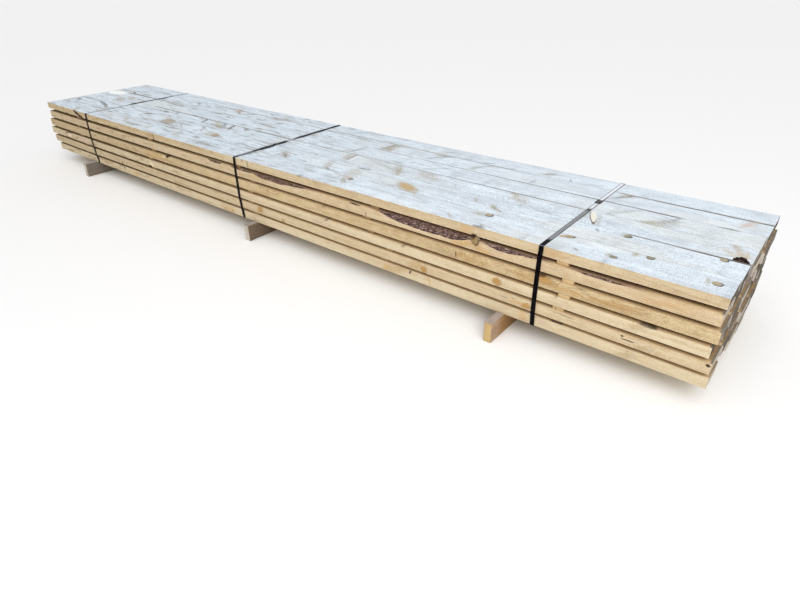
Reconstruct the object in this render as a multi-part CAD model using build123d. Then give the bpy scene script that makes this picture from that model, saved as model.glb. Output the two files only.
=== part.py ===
from build123d import *
from dataclasses import dataclass
from math import cos, hypot, radians, sin
import os

# A strapped stack of rough-sawn softwood planks: six layers of six, held apart by thin stickers,
# carried on three bearers and bound by three straps. Lengths are millimetres. X runs along the
# planks from the left end, Y from the front to the back and Z up from the ground. At the end the
# whole stack is moved so that the middle of its footprint lies on the origin.

# Planks
board_length = 4877.0
board_widths = [150.0, 146.0, 136.0, 146.0, 135.0, 125.0]
seam_gap = 0.8

# Stickers, the thin laths between the layers
sticker_thickness = 16.0
sticker_width = 46.0
sticker_insets = [8.0, 8.0, 8.0, 8.0, 1.0]
first_sticker_from_left = 470.0
last_sticker_from_right = 547.0

# Bearers under the stack, on edge
bearer_width = 40.0
bearer_height = 95.0
bearer_arris = 2.5
left_bearer_from_left = 567.0
left_bearer_front_reach = 93.0
left_bearer_back_reach = 82.0
middle_bearer_past_middle = 20.0
middle_bearer_front_reach = 79.0
middle_bearer_back_reach = 105.0
right_bearer_from_right = 804.0
right_bearer_front_reach = 105.0
right_bearer_back_reach = 71.0

# Straps, and the seal that joins each strap's two ends on top of the stack
strap_width = 19.0
strap_thickness = 1.2
strap_bend = 2.0
strap_clearance = 0.2
strap_tail = 62.0
left_strap_past_bearer = 35.5
middle_strap_before_bearer = 69.5
right_strap_past_bearer = 119.5
left_seal_from_front = 372.0
middle_seal_from_front = 296.0
right_seal_from_front = 540.0
seal_length = 34.0
seal_wall = 3.0
seal_cover = 1.4
seal_clearance = 0.3
crimp_radius = 2.2
crimp_pitch = 15.0

# The round of the log that shows where a plank's edge is left waney
log_radius = 140.0
log_lean = 40.0


@dataclass
class Layer:
    """One layer of planks: its thickness, and how it lies against the top layer."""

    thickness: float
    proud: float
    bow: float
    left_reach: float
    right_reach: float
    ragged: float
    right_steps: list


@dataclass
class WaneStretch:
    """A stretch of plank edge, in shares of its length, cut back by a share of its thickness."""

    start: float
    end: float
    depth: float


# From the top down. Rough-sawn planks differ in thickness, but those of one layer match. The bow
# is towards the front, at mid-length. A reach is how far the front plank runs past the nominal
# end. On the right, a layer has its own steps for the planks behind it. On the left, all layers
# share one row of steps, and ragged scales it.
layers = [
    Layer(
        thickness=42.0,
        proud=0.0,
        bow=12.0,
        left_reach=0.0,
        right_reach=-2.0,
        ragged=0.15,
        right_steps=[0.0, 1.0, 2.0, 1.0, 3.0, 2.0],
    ),
    Layer(
        thickness=48.0,
        proud=7.0,
        bow=9.0,
        left_reach=-22.0,
        right_reach=-5.0,
        ragged=1.0,
        right_steps=[0.0, 2.0, 3.0, 6.0, 15.0, 13.0],
    ),
    Layer(
        thickness=50.0,
        proud=10.0,
        bow=7.0,
        left_reach=12.0,
        right_reach=5.0,
        ragged=0.7,
        right_steps=[0.0, 2.0, 3.0, -6.0, 1.0, -1.0],
    ),
    Layer(
        thickness=46.0,
        proud=10.0,
        bow=8.0,
        left_reach=32.5,
        right_reach=-8.0,
        ragged=1.2,
        right_steps=[0.0, 8.0, 5.0, 10.0, 7.0, 12.0],
    ),
    Layer(
        thickness=47.0,
        proud=8.0,
        bow=6.0,
        left_reach=20.0,
        right_reach=7.0,
        ragged=0.6,
        right_steps=[0.0, 4.0, -3.0, 5.0, 6.0, -1.0],
    ),
    Layer(
        thickness=48.0,
        proud=1.0,
        bow=7.0,
        left_reach=-10.0,
        right_reach=17.0,
        ragged=0.9,
        right_steps=[0.0, -18.0, -6.0, -5.0, -9.0, -12.0],
    ),
]
left_steps = [0.0, 14.0, 3.0, 9.0, 1.0, 11.0]

# The lowest layer's front plank is sawn askew at its right end: its back edge is shorter
skewed_layer = 5
end_skew = 14.0

# How far each sticker strays from its column, one row for each gap from the top down
sticker_strays = [
    [10.0, 20.0, -35.0, 16.0, -18.0],
    [-20.0, 49.0, 90.0, -35.0, 15.0],
    [-5.0, -15.0, 53.0, -15.0, 9.0],
    [25.0, -3.0, 40.0, 100.0, -7.0],
    [0.0, 20.0, 75.0, 60.0, -7.0],
]

# The second layer's front plank is waney along its upper front edge
waney_layer = 1
wane = [
    WaneStretch(start=0.4300, end=0.4600, depth=0.30),
    WaneStretch(start=0.4700, end=0.5300, depth=0.26),
    WaneStretch(start=0.5003, end=0.5916, depth=0.54),
    WaneStretch(start=0.6590, end=0.6800, depth=0.18),
    WaneStretch(start=0.6961, end=0.7915, depth=0.63),
    WaneStretch(start=0.7269, end=0.8027, depth=0.75),
    WaneStretch(start=0.8103, end=0.8427, depth=0.56),
    WaneStretch(start=0.8151, end=0.8796, depth=0.44),
    WaneStretch(start=0.8899, end=0.9453, depth=0.27),
]

stack_width = sum(board_widths) + seam_gap * (len(board_widths) - 1)


def layer_floor(number: int) -> float:
    """Height of a layer's underside, counted from 0 at the top."""
    below = layers[number + 1 :]
    return bearer_height + sum(layer.thickness + sticker_thickness for layer in below)


stack_top = layer_floor(0) + layers[0].thickness


def bow_at(layer: Layer, x: float) -> float:
    """How far the layer's long edges lie behind their straight line at x."""
    from_middle = 2 * x / board_length - 1
    return layer.bow * (from_middle**2 - 1)


def layer_front(layer: Layer, x: float) -> float:
    """Y of the layer's front face at x."""
    return -stack_width / 2 - layer.proud + bow_at(layer, x)


def layer_back(layer: Layer, x: float) -> float:
    """Y of the layer's back face at x."""
    return layer_front(layer, x) + stack_width


def plank_ends(layer: Layer, column: int) -> tuple[float, float]:
    """X of a plank's left and right ends, with column 0 at the front."""
    left = -layer.left_reach + layer.ragged * left_steps[column]
    right = board_length + layer.right_reach + layer.right_steps[column]
    return left, right


def bowed_edge(layer: Layer, offset: float, start: float, end: float) -> Edge:
    """Long edge of a plank from start to end, at an offset behind the layer's front face."""
    middle = (start + end) / 2
    points = [(x, layer_front(layer, x) + offset) for x in (start, middle, end)]
    if layer.bow == 0:
        return Line(points[0], points[2])
    return ThreePointArc(*points)


def plank(number: int, column: int) -> Solid:
    """One plank: its two long edges share the layer's bow, and nearly all ends are sawn square."""
    layer = layers[number]
    widths = board_widths[number:] + board_widths[:number]
    near = sum(widths[:column]) + seam_gap * column
    start, end = plank_ends(layer, column)
    front = bowed_edge(layer, near, start, end)
    skew = end_skew if (number, column) == (skewed_layer, 0) else 0.0
    back = bowed_edge(layer, near + widths[column], start, end - skew)
    ends = [Line(front @ 0, back @ 0), Line(front @ 1, back @ 1)]
    outline = make_face([front, back] + ends)
    return Pos(0, 0, layer_floor(number)) * extrude(outline, layer.thickness, dir=(0, 0, 1))


def wane_ring(stretch: WaneStretch, layer: Layer, top: float) -> Solid:
    """Ring round the log's axis whose bore dips into the plank's upper front edge."""
    start = stretch.start * board_length
    end = stretch.end * board_length
    middle = (start + end) / 2
    depth = stretch.depth * layer.thickness
    lean = radians(log_lean)
    run = log_radius * cos(lean)
    drop = log_radius * sin(lean)
    waist = hypot(run, drop - depth)
    round_of_log = ThreePointArc((start, log_radius), (middle, waist), (end, log_radius))
    chord = Line((start, log_radius), (end, log_radius))
    ring = revolve(make_face([round_of_log, chord]), Axis.X)
    return Pos(0, layer_front(layer, middle) + run, top - drop) * ring


def plank_layer(number: int) -> Compound:
    """Six planks side by side, with a seam between neighbours."""
    planks = [plank(number, column) for column in range(len(board_widths))]
    if number == waney_layer:
        top = layer_floor(number) + layers[number].thickness
        for stretch in wane:
            planks[0] = planks[0] - wane_ring(stretch, layers[number], top)
    return Compound([piece.solids()[0] for piece in planks])


def sticker_column(column: int) -> Compound:
    """The stickers of one column, one in each gap, ending just inside the planks' faces."""
    last = board_length - last_sticker_from_right
    pitch = (last - first_sticker_from_left) / (len(sticker_insets) - 1)
    stickers = []
    for gap in range(len(layers) - 1):
        x = first_sticker_from_left + pitch * column + sticker_strays[gap][column]
        around = (layers[gap], layers[gap + 1])
        front = max(layer_front(layer, x) for layer in around) + sticker_insets[column]
        back = min(layer_back(layer, x) for layer in around) - sticker_insets[column]
        lath = Box(
            sticker_width,
            back - front,
            sticker_thickness,
            align=(Align.CENTER, Align.MIN, Align.MAX),
        )
        stickers.append(Pos(x, front, layer_floor(gap)) * lath)
    return Compound([piece.solids()[0] for piece in stickers])


def bearer(x: float, front_reach: float, back_reach: float) -> Solid:
    """One bearer on edge with worn long edges, its ends standing out by its two reaches."""
    beam = Box(
        bearer_width,
        front_reach + stack_width + back_reach,
        bearer_height,
        align=(Align.CENTER, Align.MIN, Align.MIN),
    )
    beam = chamfer(beam.edges().filter_by(Axis.Y), bearer_arris)
    return Pos(x, -stack_width / 2 - front_reach, 0) * beam


def taut_loop(points: list) -> list:
    """Corners of the shortest loop round the points, as a tight strap finds it."""

    def turn(a, b, c):
        return (b[0] - a[0]) * (c[1] - a[1]) - (b[1] - a[1]) * (c[0] - a[0])

    def half(ordered):
        chain = []
        for point in ordered:
            while len(chain) > 1 and turn(chain[-2], chain[-1], point) <= 0:
                chain.pop()
            chain.append(point)
        return chain[:-1]

    ordered = sorted(set(points))
    return half(ordered) + half(ordered[::-1])


def strap(x: float, seal_from_front: float) -> Solid:
    """A taut band round the section of the stack at x, with its upper end lapped over the lower."""
    corners = []
    sides = (x - strap_width / 2, x + strap_width / 2)
    for number, layer in enumerate(layers):
        front = min(layer_front(layer, side) for side in sides) - strap_clearance
        back = max(layer_back(layer, side) for side in sides) + strap_clearance
        floor = layer_floor(number)
        corners += [(y, z) for y in (front, back) for z in (floor, floor + layer.thickness)]
    inside = make_face(Polyline(*taut_loop(corners), close=True))
    outside = offset(inside, strap_thickness, kind=Kind.INTERSECTION)
    levels = outside.vertices().group_by(Axis.Y)
    outside = fillet(levels[0] + levels[-1], strap_bend)
    band = extrude(Plane.YZ * (outside - inside), strap_width / 2, both=True)
    lap = Box(
        strap_width,
        seal_length + strap_tail,
        strap_thickness,
        align=(Align.CENTER, Align.MIN, Align.MIN),
    )
    lap_start = seal_from_front - stack_width / 2 - seal_length / 2
    return Pos(x, 0, 0) * band + Pos(x, lap_start, stack_top + strap_thickness) * lap


def seal(x: float, from_front: float) -> Solid:
    """A crimped sleeve over the lapped strap ends, with two bites in each side."""
    slot_width = strap_width + 2 * seal_clearance
    slot_height = 2 * strap_thickness + seal_clearance
    width = slot_width + 2 * seal_wall
    on_floor = (Align.CENTER, Align.CENTER, Align.MIN)
    sleeve = Box(width, seal_length, slot_height + seal_cover, align=on_floor)
    sleeve = fillet(sleeve.edges().filter_by(Axis.Y).group_by(Axis.Z)[-1], seal_cover / 2)
    sleeve -= Box(slot_width, seal_length, slot_height, align=on_floor)
    bite = Cylinder(crimp_radius, slot_height + seal_cover, align=on_floor)
    for side in (-width / 2, width / 2):
        for step in (-crimp_pitch / 2, crimp_pitch / 2):
            sleeve -= Pos(side, step, 0) * bite
    return Pos(x, from_front - stack_width / 2, stack_top) * sleeve


def build_stack() -> dict:
    """Every node of the stack by name, still measured from the left end."""
    nodes = {f"plank_layer_{n + 1}": plank_layer(n) for n in range(len(layers))}
    for column in range(len(sticker_insets)):
        nodes[f"stickers_{column + 1}"] = sticker_column(column)
    left = left_bearer_from_left
    middle = board_length / 2 + middle_bearer_past_middle
    right = board_length - right_bearer_from_right
    nodes["bearer_left"] = bearer(left, left_bearer_front_reach, left_bearer_back_reach)
    nodes["bearer_middle"] = bearer(middle, middle_bearer_front_reach, middle_bearer_back_reach)
    nodes["bearer_right"] = bearer(right, right_bearer_front_reach, right_bearer_back_reach)
    beside = (bearer_width + strap_width) / 2
    straps = {
        "left": (left + beside + left_strap_past_bearer, left_seal_from_front),
        "middle": (middle - beside - middle_strap_before_bearer, middle_seal_from_front),
        "right": (right + beside + right_strap_past_bearer, right_seal_from_front),
    }
    for side, (x, from_front) in straps.items():
        nodes[f"strap_{side}"] = strap(x, from_front)
        nodes[f"seal_{side}"] = seal(x, from_front)
    return nodes


os.makedirs("parts", exist_ok=True)
stack = build_stack()
footprint = Compound([solid for node in stack.values() for solid in node.solids()]).bounding_box()
to_origin = Pos(-footprint.center().X, -footprint.center().Y, 0)
for name, node in stack.items():
    export_step(to_origin * node, f"parts/{name}.step")
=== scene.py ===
"""Looks of a strapped stack of rough-sawn softwood planks, in metres and in the part's own frame.

Each plank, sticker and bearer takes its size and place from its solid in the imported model. It
starts as a plain block, is shaped by hand operations, and gets a sawn-wood finish whose growth
rings, knots and saw marks run through the whole piece.
"""

import logging
import math
from dataclasses import dataclass, field, replace
from enum import Enum
from typing import Callable, Union

import bmesh
import bpy
from mathutils import Matrix, Vector, noise


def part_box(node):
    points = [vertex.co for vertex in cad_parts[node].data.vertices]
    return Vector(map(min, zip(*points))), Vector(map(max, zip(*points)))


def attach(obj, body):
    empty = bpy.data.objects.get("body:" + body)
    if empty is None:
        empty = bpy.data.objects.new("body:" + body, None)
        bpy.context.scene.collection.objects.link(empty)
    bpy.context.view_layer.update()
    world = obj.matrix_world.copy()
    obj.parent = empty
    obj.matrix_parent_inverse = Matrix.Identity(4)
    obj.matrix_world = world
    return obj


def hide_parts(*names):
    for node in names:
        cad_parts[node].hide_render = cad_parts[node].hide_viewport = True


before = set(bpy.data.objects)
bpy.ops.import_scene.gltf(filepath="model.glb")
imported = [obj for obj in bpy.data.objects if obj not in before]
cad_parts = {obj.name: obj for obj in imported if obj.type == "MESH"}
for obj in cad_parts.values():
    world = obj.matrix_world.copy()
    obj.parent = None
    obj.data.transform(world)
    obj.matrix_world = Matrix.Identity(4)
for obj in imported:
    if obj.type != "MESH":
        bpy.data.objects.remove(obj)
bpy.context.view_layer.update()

log = logging.getLogger("lumber_stack")

Triple = tuple[float, float, float]
Number = Union[float, "Signal"]

# Where the stack's nominal left end and straight front line lie in the frame
LEFT_END = -2.43075
FRONT_LINE = -0.421

# Height of the lowest planks' underside
UNDERSIDE = 0.095

# How many layers there are, planks in a layer and columns of stickers
LAYERS = 6
PLANKS = 6
STICKER_COLUMNS = 5

# Spacing of the growth rings and of the marks that the saw left
RING = 0.0041
SAW_PITCH = 0.0056

# Least skew of a plank's right end that is sawn, and how far inside the end the cut starts, so
# that it misses the eased edge
LEAST_SKEW = 0.003
SKEW_INSET = 0.0015

# Start of noise_vector, which takes it from the clock if it isn't given one
NOISE_SEED = 1

# The photograph's width in pixels, and the camera sensor's in millimetres
PICTURE_WIDTH = 800
SENSOR_WIDTH = 36.0


def tint(red: float, green: float, blue: float) -> Triple:
    """Linear colour of a screen colour that is given from 0 to 255."""
    shares = (channel / 255 for channel in (red, green, blue))
    return tuple(s / 12.92 if s <= 0.04045 else ((s + 0.055) / 1.055) ** 2.4 for s in shares)


# ------------------------------------------------------------------ shader maths


class Signal:
    """An output of a shader node that can be used in Python arithmetic."""

    def __init__(self, graph: "Graph", socket: bpy.types.NodeSocket) -> None:
        """Wraps a socket of the graph."""
        self.graph = graph
        self.socket = socket

    def _apply(self, operation: str, first: object, second: object) -> "Signal":
        """A Math or Vector Math node on two values, whichever their kinds need.

        Args:
            operation: The node's operation.
            first: A signal or a plain value.
            second: Another.

        Returns:
            The result.
        """
        flat = True
        for value in (first, second):
            if isinstance(value, Signal):
                flat = flat and value.socket.type == "VALUE"
            else:
                flat = flat and isinstance(value, (int, float))
        if flat:
            return self.graph.math(operation, first, second)
        sides = ((v, v, v) if isinstance(v, (int, float)) else v for v in (first, second))
        return self.graph.vector_math(operation, *sides)

    def __add__(self, other: object) -> "Signal":
        """Sum."""
        return self._apply("ADD", self, other)

    def __radd__(self, other: object) -> "Signal":
        """Sum with a plain value on the left."""
        return self._apply("ADD", other, self)

    def __sub__(self, other: object) -> "Signal":
        """Difference."""
        return self._apply("SUBTRACT", self, other)

    def __rsub__(self, other: object) -> "Signal":
        """Difference with a plain value on the left."""
        return self._apply("SUBTRACT", other, self)

    def __mul__(self, other: object) -> "Signal":
        """Product."""
        return self._apply("MULTIPLY", self, other)

    def __rmul__(self, other: object) -> "Signal":
        """Product with a plain value on the left."""
        return self._apply("MULTIPLY", other, self)

    def __abs__(self) -> "Signal":
        """Size without sign."""
        return self.graph.math("ABSOLUTE", self)


class Graph:
    """The node tree of one material, ending in one Principled shader."""

    def __init__(self, name: str) -> None:
        """Starts an empty tree with a shader and an output.

        Args:
            name: Name of the material.
        """
        self.material = bpy.data.materials.new(name)
        self.material.use_nodes = True
        self.tree = self.material.node_tree
        self.tree.nodes.clear()
        self.shader = self.tree.nodes.new("ShaderNodeBsdfPrincipled")
        output = self.tree.nodes.new("ShaderNodeOutputMaterial")
        self.tree.links.new(self.shader.outputs[0], output.inputs["Surface"])
        coordinates = self.tree.nodes.new("ShaderNodeTexCoord")
        self.place = Signal(self, coordinates.outputs["Object"])
        self.facing = Signal(self, coordinates.outputs["Normal"])

    def node(
        self,
        kind: str,
        settings: dict | None = None,
        sockets: dict | None = None,
        output: int | str = 0,
    ) -> Signal:
        """Adds any node.

        Args:
            kind: The node's type.
            settings: Its properties, set first. "stops" gives a ramp's places and colours.
            sockets: Values or signals for its inputs, by name or number.
            output: The output that the signal stands for.

        Returns:
            The chosen output.
        """
        made = self.tree.nodes.new(kind)
        for key, value in (settings or {}).items():
            if key == "stops":
                ramp = made.color_ramp
                while len(ramp.elements) < len(value):
                    ramp.elements.new(0.5)
                for element, (at, colour) in zip(ramp.elements, value):
                    element.position = at
                    element.color = (*colour, 1.0)
            else:
                setattr(made, key, value)
        for key, value in (sockets or {}).items():
            if isinstance(value, Signal):
                self.tree.links.new(value.socket, made.inputs[key])
            elif made.inputs[key].type == "RGBA" and len(value) == 3:
                made.inputs[key].default_value = (*value, 1.0)
            else:
                made.inputs[key].default_value = value
        return Signal(self, made.outputs[output])

    def math(self, operation: str, *values: object) -> Signal:
        """A Math node."""
        return self.node("ShaderNodeMath", {"operation": operation}, dict(enumerate(values)))

    def vector_math(self, operation: str, *values: object, output: int | str = 0) -> Signal:
        """A Vector Math node."""
        settings = {"operation": operation}
        return self.node("ShaderNodeVectorMath", settings, dict(enumerate(values)), output)

    def mix(self, share: Number, first: object, second: object) -> Signal:
        """Colour between two colours."""
        settings = {"data_type": "RGBA", "clamp_factor": True}
        return self.node("ShaderNodeMix", settings, {0: share, 6: first, 7: second}, 2)

    def step(self, value: Signal, start: float, end: float, top: Number = 1.0) -> Signal:
        """Smooth rise from 0 at start to top at end. Start may lie above end.

        Args:
            value: What rises.
            start: Where it leaves 0.
            end: Where it reaches the top.
            top: Its greatest result.

        Returns:
            The risen signal.
        """
        settings = {"interpolation_type": "SMOOTHSTEP"}
        sockets = {"Value": value, "From Min": start, "From Max": end, "To Max": top}
        return self.node("ShaderNodeMapRange", settings, sockets)

    def split(self, vector: Signal) -> tuple[Signal, Signal, Signal]:
        """The three parts of a vector.

        Args:
            vector: The vector.

        Returns:
            Its parts along X, Y and Z.
        """
        first = self.node("ShaderNodeSeparateXYZ", {}, {0: vector})
        outputs = first.socket.node.outputs
        return first, Signal(self, outputs[1]), Signal(self, outputs[2])

    def grain(
        self,
        vector: Signal,
        stretch: Triple,
        seed: float,
        detail: float = 2.0,
        output: str = "Fac",
    ) -> Signal:
        """Noise that is drawn out by different scales along each direction.

        Args:
            vector: Where it is read.
            stretch: Waves per metre along each direction.
            seed: Where it starts.
            detail: How many finer layers it has.
            output: Fac for one value or Color for three.

        Returns:
            The noise, from 0 to 1.
        """
        offset = (seed, seed * 1.7, seed * 2.3)
        scaled = self.vector_math("MULTIPLY_ADD", vector, stretch, offset)
        sockets = {"Vector": scaled, "Scale": 1.0, "Detail": detail}
        return self.node("ShaderNodeTexNoise", {"noise_dimensions": "3D"}, sockets, output)

    def scaled(self, value: Signal, factor: float | Triple, base: object) -> Signal:
        """The value times the factor, plus the base.

        Args:
            value: A signal.
            factor: A number, or three for a vector.
            base: What is added.

        Returns:
            The sum.
        """
        signals = [v for v in (value, base) if isinstance(v, Signal)]
        if all(signal.socket.type == "VALUE" for signal in signals):
            return self.math("MULTIPLY_ADD", value, factor, base)
        factors = factor if isinstance(factor, tuple) else (factor, factor, factor)
        return self.vector_math("MULTIPLY_ADD", value, factors, base)

    def length(self, vector: Signal) -> Signal:
        """Length of a vector."""
        return self.vector_math("LENGTH", vector, output="Value")

    def wave(self, phase: Signal) -> Signal:
        """Sine of an angle."""
        return self.math("SINE", phase)

    def bump(self, height: Signal, strength: float, distance: float) -> Signal:
        """A surface that rises by the distance where the height is 1."""
        sockets = {"Strength": strength, "Distance": distance, "Height": height}
        return self.node("ShaderNodeBump", {}, sockets)

    def finish(self, **sockets: object) -> bpy.types.Material:
        """Sets the shader's sockets.

        Args:
            **sockets: Values or signals by the socket's name, with underscores for spaces.

        Returns:
            The finished material.
        """
        for key, value in sockets.items():
            target = self.shader.inputs[key.replace("_", " ")]
            if isinstance(value, Signal):
                self.tree.links.new(value.socket, target)
            elif target.type == "RGBA":
                target.default_value = (*value, 1.0)
            else:
                target.default_value = value
        return self.material


# ------------------------------------------------------------------ marks in the wood


@dataclass(frozen=True)
class Tone:
    """How a kind of mark looks.

    Args:
        core: Colour inside.
        rim: Colour of the ring round it, or None.
        soft: Width of its blurred edge, as a share of its size.
        lift: How far the growth rings swing round it, in metres.
        ragged: How far its edge is drawn out along its own axis, as a share of its size.
        broken: How far it is broken up by bare wood.
        rings: How many rings it shows.
    """

    core: Triple
    rim: Triple | None = None
    soft: float = 0.3
    lift: float = 0.0
    ragged: float = 1.3
    broken: float = 0.7
    rings: float = 0.0


class Kind(Enum):
    """Kinds of mark on sawn softwood, among them a painted strap shadow and painted light."""

    KNOT = Tone(tint(184, 168, 140), tint(82, 68, 50), 0.16, 0.012, 0.35, 0.2)
    GREY_KNOT = Tone(tint(156, 146, 120), tint(56, 50, 40), 0.2, 0.010, 0.5, 0.25)
    PALE_KNOT = Tone(tint(170, 153, 128), tint(126, 110, 88), 0.25, 0.014, 0.9, 0.55, 2.5)
    AMBER = Tone(tint(186, 142, 80), tint(148, 112, 66), 0.22, 0.014, 0.6, 0.2, 1.5)
    STUB = Tone(tint(160, 134, 92), tint(92, 70, 46), 0.35, 0.012, 0.9, 0.35)
    # A strap's painted shadow on the wood, with dirt
    STRAP_SHADOW_GRIME = Tone(tint(48, 54, 60), None, 0.2, 0.0, 0.3, 0.15)
    # Bark colour behind the wane, painted lighter to stand in for light in the gap
    BARK_PAINTED_LIT = Tone(tint(140, 108, 92), None, 0.2, 0.0, 0.4, 0.5)
    GOLD = Tone(tint(190, 162, 114), tint(180, 168, 146), 0.4, 0.014, 1.1, 0.7)
    SWIRL = Tone(tint(180, 144, 88), None, 0.7, 0.02, 0.9, 0.4, 4.0)
    CREAM = Tone(tint(236, 216, 182), None, 0.4, 0.0, 1.1, 0.3)
    SPIKE = Tone(tint(240, 236, 224), tint(106, 96, 82), 0.12, 0.010, 0.5, 0.3)
    SHADE = Tone(tint(176, 166, 148), None, 0.6, 0.0, 1.3, 0.9)
    OLIVE = Tone(tint(168, 162, 132), None, 0.5, 0.0, 1.3, 0.8)
    STREAK = Tone(tint(92, 83, 74), None, 0.4, 0.0, 1.3, 0.6)
    ROSE = Tone(tint(200, 172, 156), None, 0.6, 0.0, 1.3, 0.8)
    CLEAN = Tone(tint(246, 248, 246), None, 0.2, 0.0, 0.2, 0.1)
    SMOKE = Tone(tint(162, 165, 166), None, 0.7, 0.0, 1.3, 0.9)
    PITCH = Tone(tint(36, 27, 24), tint(84, 62, 46), 0.2, 0.014, 0.8, 0.2)
    SPECK = Tone(tint(46, 34, 26), None, 0.25, 0.0, 0.4, 0.1)
    RESIN = Tone(tint(206, 164, 104), None, 0.6, 0.0, 1.3, 0.7)


@dataclass(frozen=True)
class Mark:
    """One mark, measured in millimetres from the stack's left end.

    Args:
        kind: What it looks like.
        x: Its middle along the plank.
        across: Its middle from the stack's front on a top face, or from the lowest plank's
            underside on a front face.
        long: Half its length along its own axis.
        wide: Half its width.
        turn: Angle of its own axis from the plank's length, in degrees.
        strength: How strongly it shows.
        upright: Whether it lies on a front face.
    """

    kind: Kind
    x: float
    across: float
    long: float
    wide: float
    turn: float = 0.0
    strength: float = 0.9
    upright: bool = False


# ------------------------------------------------------------------ finishes

# From which share of its direction a face begins to count as facing that way, and when in full
UPWARD = (0.55, 0.9)
DOWNWARD = (-0.55, -0.9)
SIDEWAYS = (0.6, 0.9)
FORWARD = (-0.6, -0.9)

# How far below a mark its colour still shows, on a front, a bleached top and a top in a gap
FRONT_DEPTH = 0.03
TOP_DEPTH = 0.03
GAP_DEPTH = 0.005

# How far round a mark the growth rings swing, in sizes of the mark
SWING_ENDS, SWING_FULL = 2.6, 0.4

# Marks on the left, up to this place in millimetres, show more strongly
LEFT_PART = 2300
LEFT_BOOST = 1.3

# Colours of sawn wood, pale and dark where there are two
CLOUD_TAN = tint(190, 164, 128)
FLECK_BROWN = tint(136, 102, 60)
SAW_BROWN = tint(170, 144, 110)
# Dirt with painted shade in gaping seams
SEAM_SHADE_AND_DIRT = tint(108, 101, 92)
CHECK_BROWN = tint(52, 44, 38)
GOLDEN = (tint(176, 130, 70), tint(122, 88, 50))
DUST = (tint(184, 178, 176), tint(138, 130, 128))
# Painted shade towards the far left end, on the bleached layer and on the others
LEFT_SHADE_BLEACHED = tint(138, 116, 70)
LEFT_SHADE_BARE = tint(140, 128, 108)
# Painted shade on the faces between layers and between planks, painted light near a gap's front
# edge; tip and rim colours are unshaded weathered wood
GAP_SHADE = (tint(190, 158, 112), tint(128, 102, 70))
GAP_LIT = (tint(222, 196, 154), tint(186, 156, 114))
GAP_TIP = (tint(148, 138, 122), tint(98, 89, 78))
GAP_LEFT_SHADE = tint(92, 76, 46)
WALL_SHADE = tint(92, 80, 68)
WALL_TIP = tint(196, 186, 176)
WALL_RIM = tint(206, 208, 208)
# On a face that the sun has bleached, painted paler and bluer by the sky light on a top
SUN_GREY_AND_SKY_CAST = (tint(234, 245, 255), tint(158, 166, 174))
SUN_WARM = tint(220, 220, 212)
SUN_COOL = tint(196, 206, 216)
SUN_LEFT_SHADE = tint(182, 196, 206)
SUN_DASH = tint(136, 134, 128)
SUN_STAIN = tint(142, 140, 134)


@dataclass(frozen=True)
class Weave:
    """How a pattern of the wood is drawn out.

    Args:
        waves: Waves per metre along the grain, across it and up.
        shift: What it adds to the piece's seed, or its own seed if it is shared.
        detail: How many finer layers it has.
        shared: Whether it runs on from one piece to the next.
    """

    waves: Triple
    shift: float
    detail: float = 2.0
    shared: bool = False


class Pattern(Enum):
    """Patterns that sawn softwood shows."""

    RIPPLE = Weave((7.0, 60.0, 60.0), 0)
    WOBBLE = Weave((55.0, 55.0, 55.0), 1, 5.0)
    PATCHY = Weave((90.0, 230.0, 230.0), 2, 4.0)
    FIBRE = Weave((26.0, 700.0, 700.0), 3, 3.0)
    FUZZ = Weave((160.0, 220.0, 220.0), 4, 4.0)
    STREAK = Weave((1.1, 42.0, 60.0), 5, 3.0)
    FLECKS = Weave((9.0, 60.0, 60.0), 6, 4.0)
    CLOUD = Weave((2.4, 11.0, 11.0), 9, 3.0)
    MOTTLE = Weave((22.0, 48.0, 48.0), 10, 3.0)
    WANDER = Weave((0.75, 1.5, 1.5), 11, 1.0)
    # Patches of the seams' dirt and painted shade
    SEAM_SPOTS = Weave((5.0, 3.0, 3.0), 15)
    SAW_SWAY = Weave((2.0, 9.0, 9.0), 17)
    SAW_PATCHES = Weave((4.0, 16.0, 16.0), 19)
    WARM = Weave((1.3, 7.0, 7.0), 21.0, 3.0, True)
    COOL = Weave((2.2, 9.0, 9.0), 47.0, 3.0, True)
    DASHES = Weave((9.0, 70.0, 70.0), 63.0, 4.0, True)
    STAINS = Weave((3.6, 30.0, 30.0), 71.0, 5.0, True)


@dataclass(frozen=True)
class Seam:
    """A stretch of a top plank's long edge where the seam gapes.

    Args:
        side: -1 for the front edge and 1 for the back edge.
        start: Where it starts, in millimetres from the stack's left end.
        end: Where it ends.
        gape: How far the edge is worn back, in millimetres.
    """

    side: int
    start: float
    end: float
    gape: float


@dataclass
class Spot:
    """A mark with the signals that tell how far away it is.

    Args:
        mark: The mark.
        distance: Distance from its middle, 1 at its edge, plus half its raggedness.
        leaning: The same from the middle of its core, if it has a rim.
    """

    mark: Mark
    distance: Signal
    leaning: Signal | None = None


@dataclass
class Survey:
    """All spots of a piece, how near they are together and how far they swing the rings."""

    spots: list[Spot] = field(default_factory=list)
    near: Number = 0.0
    swing: Number = 0.0


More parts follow.
